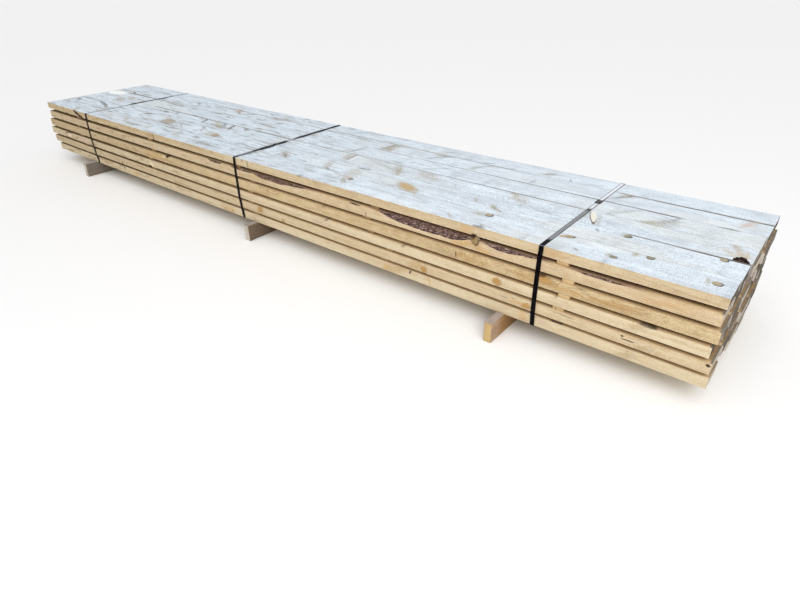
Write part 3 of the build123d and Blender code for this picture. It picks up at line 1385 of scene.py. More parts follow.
@dataclass
class LogRound:
    """The round of the log that the waney plank was sawn from, with its bark.

    Args:
        front: The plank's foremost place, at mid-length.
        top: Height of its upper face.
        radius: Radius of the log.
        lean: Angle at which the log's round meets the plank's upper front edge.
        barked: Where the bark starts and ends, from the stack's left end.
        stretches: Where the round is cut back.
    """

    front: float
    top: float
    radius: float = 0.140
    lean: float = math.radians(40.0)
    barked: tuple[float, float] = (2.05, 4.66)
    stretches: tuple[WaneStretch, ...] = (
        WaneStretch(2.0971, 2.2434, 0.0144),
        WaneStretch(2.2922, 2.5600, 0.0090),
        WaneStretch(2.5000, 2.7200, 0.0205),
        WaneStretch(2.5200, 2.8600, 0.0215),
        WaneStretch(2.7000, 2.9350, 0.0130),
        WaneStretch(3.2139, 3.3164, 0.0086),
        WaneStretch(3.4100, 3.7100, 0.0310),
        WaneStretch(3.4100, 3.9500, 0.0370),
        WaneStretch(3.6400, 3.9400, 0.0360),
        WaneStretch(3.9550, 4.1800, 0.0226),
        WaneStretch(4.0200, 4.2500, 0.0145),
        WaneStretch(4.3350, 4.6100, 0.0165),
    )

    def reach(self, along: float) -> float:
        """Radius of the round at a distance from the stack's left end.

        Args:
            along: The distance.

        Returns:
            The radius.
        """
        run = self.radius * math.cos(self.lean)
        drop = self.radius * math.sin(self.lean)
        least = self.radius + 0.004
        for stretch in self.stretches:
            half = (stretch.end - stretch.start) / 2
            away = (along - stretch.start - half) / half
            if abs(away) < 1:
                waist = math.hypot(run, drop - stretch.depth)
                least = min(least, waist + (self.radius - waist) * away * away)
        return least

    def trim(self, plank: bpy.types.Object, bark: bpy.types.Material) -> None:
        """Keeps of the plank only what lies inside the round of the log.

        Args:
            plank: The plank.
            bark: Material of the round.
        """
        axis_y = self.front + self.radius * math.cos(self.lean)
        axis_z = self.top - self.radius * math.sin(self.lean)
        select_only()
        bpy.ops.mesh.primitive_cylinder_add(
            vertices=48, radius=1.0, depth=5.2, rotation=(0, math.pi / 2, 0)
        )
        round_log = settled()
        low, high = (LEFT_END + limit for limit in self.barked)
        with Editing(round_log) as edit:
            for x in (low, high):
                bpy.ops.mesh.select_all(action="SELECT")
                bpy.ops.mesh.bisect(plane_co=(x, 0, 0), plane_no=(1, 0, 0))
            for cuts in (15, 19):
                edit.edges(lambda middle, way: abs(way.x) > 0.99 and low < middle.x < high)
                bpy.ops.mesh.subdivide(number_cuts=cuts)
            edit.edges(
                lambda middle, way: abs(way.x) < 0.01
                and low - 0.01 < middle.x < high + 0.01
                and self._faces_corner(middle)
            )
            bpy.ops.mesh.subdivide(number_cuts=4)
            edit.push(lambda spot: self._on_bark(spot, axis_y, axis_z))
        Bench.combine(plank, round_log, "INTERSECT", bark)

    def leave_stub(self, plank: bpy.types.Object) -> None:
        """Leaves the stub of a branch that stands up between two waney stretches.

        Args:
            plank: The plank, trimmed by the round.
        """
        select_only()
        bpy.ops.mesh.primitive_cone_add(
            vertices=20,
            radius1=0.016,
            radius2=0.010,
            depth=0.031,
            location=(LEFT_END + 3.936, self.front + 0.018, self.top - 0.005),
            rotation=(math.radians(-14), math.radians(-16), 0),
        )
        stub = settled()
        Bench.divide(stub, 2, (3,))
        noise.seed_set(NOISE_SEED)
        with Editing(stub) as edit:
            edit.push(lambda spot: spot + 0.0022 * noise.noise_vector(spot * 90))
        Bench.combine(plank, stub, "UNION")

    def _faces_corner(self, spot: Vector) -> bool:
        """Whether a spot of the bare round looks towards the plank's upper front edge."""
        angle = math.atan2(spot.z, -spot.y)
        return abs(angle - self.lean) < math.radians(32)

    def _on_bark(self, spot: Vector, axis_y: float, axis_z: float) -> Vector:
        """Where a spot of the bare round of radius 1 lies on the bark.

        Args:
            spot: The spot.
            axis_y: Where the log's axis lies from the front to the back.
            axis_z: Height of the log's axis.

        Returns:
            The place on the bark.
        """
        reach = self.reach(spot.x - LEFT_END)
        angle = math.atan2(spot.z, spot.y)
        turn = angle * self.radius
        ridges = noise.fractal(Vector((spot.x * 22, turn * 150, 3.0)), 0.8, 2.1, 4)
        lumps = noise.noise(Vector((spot.x * 9, turn * 30, 8.0)))
        away = max(math.hypot(spot.y, spot.z), 0.01)
        if away < 0.5:
            return Vector((spot.x, axis_y, axis_z))
        reach += 0.0012 * ridges + 0.0018 * lumps
        return Vector((spot.x, axis_y + reach * math.cos(angle), axis_z + reach * math.sin(angle)))


@dataclass(frozen=True)
class BarkPocket:
    """A hollow at a seam where bark has fallen out of the wood, in millimetres.

    Args:
        x: Its middle from the stack's left end.
        y: Its middle from the stack's front.
        radii: How far it reaches along, across and down.
    """

    x: float = 4840.0
    y: float = 301.0
    radii: Triple = (29.0, 40.0, 26.0)

    def hollow(self, plank: bpy.types.Object, top: float, bark: bpy.types.Material) -> None:
        """Cuts the hollow out of the plank's upper front edge and lines it with bark.

        Args:
            plank: The plank.
            top: Height of its upper face.
            bark: Material of the lining.
        """
        select_only()
        bpy.ops.mesh.primitive_ico_sphere_add(subdivisions=4, radius=1.0)
        lump = bpy.context.active_object
        middle = Vector((LEFT_END + self.x / 1000, FRONT_LINE + self.y / 1000, top))
        radii = Vector(self.radii) / 1000

        def dented(spot: Vector) -> Vector:
            """Where a spot of the round lump lies on the hollow's uneven wall."""
            reach = 1.0 + 0.3 * noise.fractal(spot * 2.2, 0.7, 2.1, 4)
            narrow = 1.0 - 0.35 * max(spot.y, 0.0)
            wall = Vector((spot.x * radii.x * narrow, spot.y * radii.y, spot.z * radii.z))
            return middle + wall * reach

        with Editing(lump) as edit:
            edit.push(dented)
        Bench.combine(plank, lump, "DIFFERENCE", bark, "FAST")


@dataclass
class PlankLayer:
    """One layer of planks.

    Args:
        number: Its place from the top, from 1.
        tones: Pale and dark ring colours of its front plank.
        rough: Strength of the saw marks on its front plank.
        marks: Marks of each plank, by its place from the front.
        seams: Gaping stretches of each plank's upper edges, by its place from the front.
        arris: Width of the rounding of its edges.
        planks: The planks that are built.
    """

    number: int
    tones: tuple[Triple, Triple]
    rough: float = 1.0
    marks: dict[int, tuple[Mark, ...]] = field(default_factory=dict)
    seams: dict[int, tuple[Seam, ...]] = field(default_factory=dict)
    arris: float = 0.0011
    planks: list[bpy.types.Object] = field(default_factory=list)

    def build(self) -> None:
        """Makes and dresses the layer's planks."""
        node = f"plank_layer_{self.number}"
        for column, solid in enumerate(solids_of(node)):
            seams = self.seams.get(column, ())
            plank = self._plank(f"{node}_plank_{column + 1}", solid, seams)
            plank.data.materials.append(self._finish(column, solid).material())
            self.planks.append(plank)

    def hand_over(self) -> None:
        """Lets the planks stand for the layer's node."""
        for plank in self.planks:
            Bench.smooth(plank)
            Bench.hand_over(plank, "rough_softwood", f"plank_layer_{self.number}")

    def _plank(self, name: str, solid: Solid, seams: tuple[Seam, ...]) -> bpy.types.Object:
        """One bowed plank with eased, slightly uneven edges.

        Args:
            name: Its name.
            solid: The solid that it stands for.
            seams: Its gaping stretches.

        Returns:
            The plank.
        """
        size = solid.size
        plank = Bench.block(name, size)
        Bench.divide(plank, 0, (15, 15))
        Bench.ease(plank, size, self.arris / 2 if self.number == 1 else self.arris)
        for seam in seams:
            self._wear_back(plank, solid, seam)
        settings = {"deform_method": "BEND", "deform_axis": "Z"}
        Bench.apply(plank, "SIMPLE_DEFORM", **settings, angle=8 * solid.bow / size[0])
        Bench.place(plank, solid.middle)
        if solid.skew > LEAST_SKEW:
            # In the lowest layer an end is sawn square, a third of its skew further in
            lean = solid.skew if self.number < LAYERS else 0.0
            end = solid.high.x - SKEW_INSET - 0.35 * (solid.skew - lean)
            Bench.saw_off(plank, (end, solid.near, 0.0), (size[1], lean, 0.0))
        Bench.roughen(plank, 0.0009, 0.22)
        Bench.roughen(plank, 0.0005, 0.03)
        return plank

    def _wear_back(self, plank: bpy.types.Object, solid: Solid, seam: Seam) -> None:
        """Wears back a stretch of one upper edge, so that the seam gapes there.

        Args:
            plank: The plank, round the origin.
            solid: Its solid.
            seam: The stretch.
        """
        left = LEFT_END - solid.middle[0]
        low, high = left + seam.start / 1000, left + seam.end / 1000
        depth = -seam.side * seam.gape / 1000
        edge = solid.size[1] / 2 - self.arris
        roof = solid.size[2] / 2 - self.arris

        def on_edge(middle: Vector, way: Vector) -> bool:
            """Whether an edge belongs to the rounded upper arris on the seam's side."""
            near = middle.y * seam.side > edge and middle.z > roof
            return near and abs(way.x) > 0.99

        with Editing(plank) as edit:
            for inset in (0.0, 0.04):
                edit.edges(
                    lambda middle, way: on_edge(middle, way)
                    and low + inset < middle.x < high - inset
                )
                bpy.ops.transform.translate(value=(0.0, depth / 2, 0.0))

    def _finish(self, column: int, solid: Solid) -> SawnWood:
        """Finish of the plank in one column.

        Args:
            column: Its place from the front, from 0.
            solid: Its solid.

        Returns:
            The finish.
        """
        seed = self.number * 13.7 + column * 5.3
        pick = noise.noise(Vector((seed, 1.5, 2.5)))
        other = noise.noise(Vector((seed, 7.5, 4.5)))
        early, late = self.tones
        if column:
            early = tuple(channel * (0.97 + 0.16 * pick) for channel in early)
        size = solid.size
        return SawnWood(
            name=f"sawn_wood_{self.number}_{column + 1}",
            centre=solid.middle,
            size=size,
            heart=(size[1] * 0.9 * pick, -size[2] * (1.2 + 1.6 * abs(other))),
            seed=seed,
            early=early,
            late=late,
            bleached=1.0 if self.number == 1 else 0.0,
            rough=self.rough if column == 0 else 1.0,
            marks=self.marks.get(column, ()),
            seams=self.seams.get(column, ()),
            gap_shaded=(self.number > 1, self.number < LAYERS),
            side_shaded=(column > 0, column < PLANKS - 1),
            ends=self._end_tones_with_painted_light(column),
        )

    def _end_tones_with_painted_light(self, column: int) -> tuple[Triple, Triple]:
        """Pale and dark colours of one plank's weathered ends, dark ends as painted shade, pale
        ones as painted light.

        Args:
            column: Its place from the front, from 0.

        Returns:
            The two colours.
        """
        dark = (tint(92, 82, 72), tint(48, 41, 35))
        middling = (tint(150, 140, 126), tint(86, 76, 66))
        pale = (tint(204, 194, 176), tint(140, 128, 112))
        # The top layer's ends are painted dark as in shade
        if self.number == 1:
            return (dark, dark, middling, middling, dark, dark)[column]
        if self.number == LAYERS and column < 2:
            return pale
        return (middling, pale, dark)[(self.number * 2 + column * 5 + self.number * column) % 3]


@dataclass
class Stickers:
    """The thin laths of one column, with their ends showing in the gaps.

    Args:
        column: Its number from the left, from 1.
        arris: Width of the rounding of the edges.
    """

    column: int
    arris: float = 0.0008

    def build(self) -> None:
        """Makes, dresses and hands over the column's laths."""
        node = f"stickers_{self.column}"
        usual = self._finish(f"sticker_wood_{self.column}", self._tones_with_painted_shade()).material()
        for gap, solid in enumerate(solids_of(node)):
            low, high = solid.low, solid.high
            size = tuple(high - low)
            lath = Bench.block(f"{node}_lath_{gap + 1}", size)
            Bench.divide(lath, 1, (31,))
            Bench.ease(lath, size, self.arris)
            Bench.place(lath, tuple((low + high) / 2))
            Bench.roughen(lath, 0.0006, 0.05)
            if self.column == STICKER_COLUMNS and gap == LAYERS - 2:
                barky = (tint(92, 70, 60), tint(60, 44, 40))
                lath.data.materials.append(self._finish("sticker_bark", barky).material())
            else:
                lath.data.materials.append(usual)
            Bench.smooth(lath)
            Bench.hand_over(lath, "sticker_wood", node)

    def _tones_with_painted_shade(self) -> tuple[Triple, Triple]:
        """Pale and dark colours, with painted light on the right column and painted shade on the
        rest.
        """
        # The right column gets painted light, the others painted shade
        if self.column == STICKER_COLUMNS:
            return (tint(214, 184, 138), tint(176, 140, 96))
        return (tint(176, 146, 106), tint(128, 100, 70))

    def _finish(self, name: str, tones: tuple[Triple, Triple]) -> SawnWood:
        """Finish of the column's laths.

        Args:
            name: Name of the material.
            tones: Its pale and dark colours.

        Returns:
            The finish.
        """
        low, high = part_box(f"stickers_{self.column}")
        return SawnWood(
            name=name,
            centre=tuple((low + high) / 2),
            size=(high.y - low.y, high.x - low.x, high.z - low.z),
            heart=(0.03, -0.3),
            seed=self.column * 17.1,
            early=tones[0],
            late=tones[1],
            along_y=True,
            ends=tones,
        )


@dataclass
class Bearer:
    """One bearer on edge under the stack, with worn corners.

    Args:
        side: Which of the three it is.
        sides: Pale and dark colours of its long faces.
        ends: Pale and dark colours of its end faces.
        wear: How far its two front corners are worn back.
        golden: How golden its sides are under the stack.
        arris: Width of the rounding of its other edges.
    """

    side: str
    sides: tuple[Triple, Triple]
    ends: tuple[Triple, Triple]
    wear: float = 0.004
    golden: float = 0.0
    arris: float = 0.003

    def build(self) -> None:
        """Makes, dresses and hands over the bearer."""
        node = f"bearer_{self.side}"
        low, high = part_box(node)
        size, middle = tuple(high - low), tuple((low + high) / 2)
        beam = Bench.block(f"{node}_beam", size)
        with Editing(beam) as edit:
            edit.bevel(lambda middle, way: abs(way.z) > 0.99 and middle.y < 0, self.wear, 3)
            edit.bevel(
                lambda middle, way: abs(way.x) > 0.99 and max(middle.y, middle.z) < 0,
                self.wear * 1.6,
                3,
            )
        Bench.divide(beam, 1, (63,))
        Bench.divide(beam, 2, (5,))
        Bench.ease(beam, size, self.arris, 3)
        Bench.place(beam, middle)
        Bench.roughen(beam, 0.0016, 0.06)
        finish = SawnWood(
            name=f"bearer_wood_{self.side}",
            centre=middle,
            size=(size[1], size[0], size[2]),
            heart=(0.03, -0.09),
            seed=41.0 + len(self.side),
            early=self.sides[0],
            late=self.sides[1],
            along_y=True,
            ends=self.ends,
            dusty=0.75,
            golden=self.golden,
        )
        beam.data.materials.append(finish.material())
        Bench.smooth(beam)
        Bench.hand_over(beam, "weathered_wood", node)


@dataclass
class Binding:
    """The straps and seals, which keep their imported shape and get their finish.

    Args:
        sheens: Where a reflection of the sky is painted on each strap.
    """

    # Stretches of each strap with a painted reflection of the sky
    sheens: dict[str, tuple[Sheen, ...]] = field(
        default_factory=lambda: {
            "left": (Sheen(0, 320, 0.75), Sheen(320, 690, 0.1), Sheen(710, 842, 0.7)),
            "middle": (Sheen(20, 120, 0.3), Sheen(375, 436, 0.6)),
            "right": (Sheen(60, 420, 0.32), Sheen(442, 518, 0.9), Sheen(560, 833, 0.95)),
        }
    )

    def build(self) -> None:
        """Dresses the straps and the seals."""
        steel = SealSteel().material()
        for side, sheens in self.sheens.items():
            low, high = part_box(f"strap_{side}")
            middle = (low.x + high.x) / 2
            half = (high.x - low.x) / 2
            strapping = Strapping(f"black_strapping_{side}", middle, half, sheens)
            self._dress(f"strap_{side}", strapping.material())
            self._dress(f"seal_{side}", steel)

    def _dress(self, name: str, material: bpy.types.Material) -> None:
        """Gives every slot of a node the material.

        Args:
            name: Name of the node.
            material: The material.
        """
        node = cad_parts[name]
        if not node.material_slots:
            node.data.materials.append(material)
        for slot in node.material_slots:
            slot.material = material
        log.info("%s: dressed", name)


# ------------------------------------------------------------------ marks, from the photograph

# Kinds are named often below
K = Kind


def upright(*marks: Mark) -> tuple[Mark, ...]:
    """The same marks on a front face."""
    return tuple(replace(mark, upright=True) for mark in marks)


# The last mark of each plank is the middle strap's painted shadow across it, with dirt
TOP_MARKS: dict[int, tuple[Mark, ...]] = {
    0: (
        Mark(K.KNOT, 3911, 129, 18, 17),
        Mark(K.OLIVE, 3872, 119, 22, 15, 12, 0.8),
        Mark(K.SHADE, 3838, 108, 24, 8, 20, 0.5),
        Mark(K.KNOT, 4274, 132, 20, 13, 25),
        Mark(K.AMBER, 4250, 119, 14, 9, 25, 0.7),
        Mark(K.OLIVE, 4527, 137, 14, 20, 0, 0.9),
        Mark(K.GREY_KNOT, 4580, 140, 15, 16, 0, 0.9),
        Mark(K.GREY_KNOT, 4472, 64, 15, 11, 0, 0.75),
        Mark(K.OLIVE, 4451, 72, 12, 12, 0, 0.8),
        Mark(K.KNOT, 4817, 79, 17, 16),
        Mark(K.OLIVE, 4787, 82, 9, 20, 10, 0.7),
        Mark(K.STREAK, 4334, 43, 14, 6, -35, 0.6),
        Mark(K.OLIVE, 3782, 24, 26, 8, -35, 0.7),
        Mark(K.GREY_KNOT, 3126, 112, 17, 13, -20, 0.85),
        Mark(K.ROSE, 3090, 128, 40, 18, -35, 0.8),
        Mark(K.OLIVE, 3110, 78, 40, 13, -50, 0.95),
        Mark(K.SMOKE, 2850, 88, 44, 18, -25, 0.6),
        Mark(K.SMOKE, 2525, 118, 34, 12, 20, 0.5),
        Mark(K.STREAK, 3045, 88, 60, 3, 60, 0.25),
        Mark(K.OLIVE, 2400, 112, 26, 8, 5, 0.8),
        Mark(K.SHADE, 1664, 70, 22, 28, 50, 0.7),
        Mark(K.SHADE, 1364, 58, 20, 18, 0, 0.5),
        Mark(K.SHADE, 1030, 88, 42, 15, -35, 0.8),
        Mark(K.SHADE, 425, 25, 50, 16, -35, 0.8),
        Mark(K.STRAP_SHADOW_GRIME, 2363, 90, 64, 22, 90, 0.45),
    ),
    1: (
        Mark(K.GREY_KNOT, 4452, 268, 15, 15, 0, 0.9),
        Mark(K.OLIVE, 4434, 270, 14, 16, 0, 0.6),
        Mark(K.KNOT, 4793, 277, 15, 14, 0, 0.9),
        Mark(K.STREAK, 3892, 208, 20, 8, -38, 0.75),
        Mark(K.OLIVE, 3876, 218, 26, 12, -50, 0.8),
        Mark(K.KNOT, 3920, 196, 14, 6, -25, 0.7),
        Mark(K.STREAK, 4332, 256, 14, 6, -50, 0.6),
        Mark(K.OLIVE, 3772, 245, 26, 9, -55, 0.7),
        Mark(K.GOLD, 3430, 182, 72, 32, -26, 0.95),
        Mark(K.CLEAN, 3328, 172, 24, 11, 30, 0.4),
        Mark(K.STREAK, 3345, 158, 20, 6, 0, 0.5),
        Mark(K.SHADE, 2550, 192, 62, 26, -38, 0.85),
        Mark(K.STREAK, 2560, 186, 50, 10, -38, 0.45),
        Mark(K.SHADE, 2885, 192, 70, 20, -60, 0.8),
        Mark(K.STREAK, 2920, 160, 20, 9, -20, 0.6),
        Mark(K.STREAK, 3080, 268, 38, 10, 8, 0.75),
        Mark(K.SHADE, 3075, 196, 60, 36, -60, 0.7),
        Mark(K.PALE_KNOT, 1336, 220, 74, 46, -12, 0.58),
        Mark(K.PALE_KNOT, 1893, 200, 36, 24, -20, 0.8),
        Mark(K.SHADE, 1838, 205, 46, 30, -20, 0.6),
        Mark(K.STREAK, 1500, 214, 28, 8, -28, 0.5),
        Mark(K.STREAK, 1680, 266, 26, 10, -28, 0.5),
        Mark(K.STREAK, 1715, 222, 30, 8, -45, 0.4),
        Mark(K.STREAK, 400, 246, 100, 14, -16, 0.65),
        Mark(K.STREAK, 520, 205, 70, 12, -26, 0.5),
        Mark(K.STREAK, 1010, 266, 48, 18, 20, 0.5),
        Mark(K.STREAK, 95, 205, 60, 14, -35, 0.45),
        Mark(K.STRAP_SHADOW_GRIME, 2362, 216, 66, 26, 90, 0.9),
    ),
    2: (
        Mark(K.RESIN, 4828, 350, 56, 10, 112, 0.6),
        Mark(K.RESIN, 4850, 350, 46, 8, 96, 0.6),
        Mark(K.RESIN, 4804, 340, 50, 8, 136, 0.5),
        Mark(K.SHADE, 4812, 400, 60, 16, 120, 0.7),
        Mark(K.SHADE, 4780, 320, 60, 6, 12, 0.4),
        Mark(K.SPIKE, 4268, 365, 70, 12, -66, 1.0),
        Mark(K.OLIVE, 4300, 345, 56, 9, -75, 0.6),
        Mark(K.OLIVE, 4226, 365, 70, 10, 90, 0.7),
        Mark(K.STREAK, 3862, 424, 18, 7, -30, 0.8),
        Mark(K.OLIVE, 3888, 396, 46, 16, -50, 0.7),
        Mark(K.SHADE, 3932, 362, 46, 26, -15, 0.7),
        Mark(K.STREAK, 2890, 380, 64, 6, -84, 0.85),
        Mark(K.SHADE, 2868, 372, 58, 24, -70, 0.85),
        Mark(K.CLEAN, 2915, 370, 50, 8, -80, 0.45),
        Mark(K.SHADE, 3226, 362, 66, 24, -58, 0.85),
        Mark(K.OLIVE, 3250, 338, 62, 11, -60, 0.95),
        Mark(K.SHADE, 3420, 374, 90, 36, -20, 0.7),
        Mark(K.SMOKE, 3120, 372, 130, 14, -14, 0.6),
        Mark(K.STREAK, 1520, 392, 66, 12, -58, 0.65),
        Mark(K.OLIVE, 1690, 372, 92, 20, -32, 0.6),
        Mark(K.STREAK, 1730, 392, 46, 12, -40, 0.5),
        Mark(K.STREAK, 1815, 385, 62, 14, -62, 0.65),
        Mark(K.STREAK, 1944, 400, 34, 14, -50, 0.5),
        Mark(K.SHADE, 365, 420, 96, 26, -28, 0.7),
        Mark(K.STREAK, 1062, 372, 28, 16, -10, 0.6),
        Mark(K.STREAK, 1170, 396, 40, 12, -50, 0.5),
        Mark(K.STRAP_SHADOW_GRIME, 2361, 330, 40, 22, 90, 0.85),
    ),
    3: (
        Mark(K.SHADE, 4500, 478, 84, 14, 36, 0.9),
        Mark(K.STREAK, 4545, 535, 40, 9, 70, 0.45),
        Mark(K.OLIVE, 4490, 446, 60, 16, 8, 0.7),
        Mark(K.SMOKE, 4365, 520, 66, 12, 50, 0.7),
        Mark(K.SMOKE, 4530, 500, 40, 30, 60, 0.7),
        Mark(K.SMOKE, 2825, 510, 64, 14, 78, 0.8),
        Mark(K.STREAK, 2820, 480, 24, 8, 80, 0.35),
        Mark(K.STREAK, 3217, 496, 18, 8, 40, 0.5),
        Mark(K.SMOKE, 3390, 500, 60, 10, 42, 0.7),
        Mark(K.STREAK, 1569, 541, 20, 12, -10, 0.6),
        Mark(K.OLIVE, 1975, 562, 30, 18, 20, 0.5),
        Mark(K.CLEAN, 115, 516, 108, 52, 0, 1.0),
        Mark(K.SHADE, 430, 462, 60, 22, -20, 0.7),
        Mark(K.STREAK, 620, 520, 40, 10, -85, 0.3),
        Mark(K.STRAP_SHADOW_GRIME, 2359, 516, 66, 20, 90, 0.8),
    ),
    4: (
        Mark(K.SHADE, 4300, 690, 40, 22, 48, 0.9),
        Mark(K.STREAK, 4290, 672, 68, 10, 51, 0.6),
        Mark(K.ROSE, 4796, 668, 50, 16, 62, 0.9),
        Mark(K.STREAK, 2935, 650, 64, 11, 76, 0.8),
        Mark(K.SHADE, 2955, 645, 70, 34, 78, 0.85),
        Mark(K.OLIVE, 2970, 605, 34, 16, -60, 0.6),
        Mark(K.STREAK, 3310, 694, 34, 14, 14, 0.6),
        Mark(K.OLIVE, 3265, 690, 34, 20, 0, 0.6),
        Mark(K.STREAK, 3268, 640, 52, 7, 47, 0.5),
        Mark(K.SMOKE, 3555, 660, 72, 10, 50, 0.9),
        Mark(K.OLIVE, 3530, 608, 26, 14, 60, 0.7),
        Mark(K.STREAK, 3865, 612, 26, 8, 86, 0.4),
        Mark(K.ROSE, 1500, 690, 62, 34, -28, 0.7),
        Mark(K.STREAK, 1530, 664, 46, 8, -35, 0.4),
        Mark(K.STREAK, 1648, 690, 52, 12, 40, 0.55),
        Mark(K.OLIVE, 1918, 700, 56, 20, 12, 0.7),
        Mark(K.STREAK, 2000, 628, 30, 14, 30, 0.45),
        Mark(K.STREAK, 1035, 670, 34, 14, -30, 0.5),
        Mark(K.STREAK, 1155, 655, 34, 10, 30, 0.4),
        Mark(K.STREAK, 650, 605, 46, 14, 8, 0.7),
        Mark(K.STREAK, 235, 600, 60, 10, -25, 0.5),
        Mark(K.STRAP_SHADOW_GRIME, 2359, 650, 76, 20, 90, 0.8),
    ),
    5: (
        Mark(K.SHADE, 3875, 752, 44, 16, 22, 0.8),
        Mark(K.STREAK, 3885, 750, 24, 9, 22, 0.4),
        Mark(K.STREAK, 4003, 730, 18, 6, -55, 0.6),
        Mark(K.STREAK, 3550, 728, 38, 8, 30, 0.5),
        Mark(K.SMOKE, 2600, 775, 70, 12, 38, 0.8),
        Mark(K.SMOKE, 3280, 765, 36, 10, 40, 0.7),
        Mark(K.STREAK, 1770, 762, 36, 8, -20, 0.4),
        Mark(K.OLIVE, 1930, 745, 50, 14, 0, 0.5),
        Mark(K.SHADE, 480, 735, 60, 20, 0, 0.4),
        Mark(K.SHADE, 90, 800, 80, 22, 0, 0.4),
        Mark(K.STRAP_SHADOW_GRIME, 2359, 775, 60, 18, 90, 0.7),
    ),
}

TOP_SEAMS: dict[int, tuple[Seam, ...]] = {
    1: (Seam(1, 4440, 4900, 0.6),),
    2: (Seam(-1, 4440, 4900, 0.6), Seam(1, 850, 2300, 0.9), Seam(1, 2300, 4215, 0.7)),
    3: (
        Seam(-1, 850, 2300, 0.9),
        Seam(-1, 2300, 4215, 0.7),
        Seam(1, 200, 900, 0.9),
        Seam(1, 2900, 4560, 0.2),
        Seam(1, 4715, 4775, 0.3),
    ),
    4: (
        Seam(-1, 200, 900, 0.9),
        Seam(-1, 2900, 4560, 0.2),
        Seam(-1, 4715, 4775, 0.3),
        Seam(1, 1200, 3740, 0.7),
        Seam(1, 4250, 4900, 0.3),
    ),
    5: (Seam(-1, 1200, 3740, 0.7), Seam(-1, 4250, 4900, 0.3)),
}

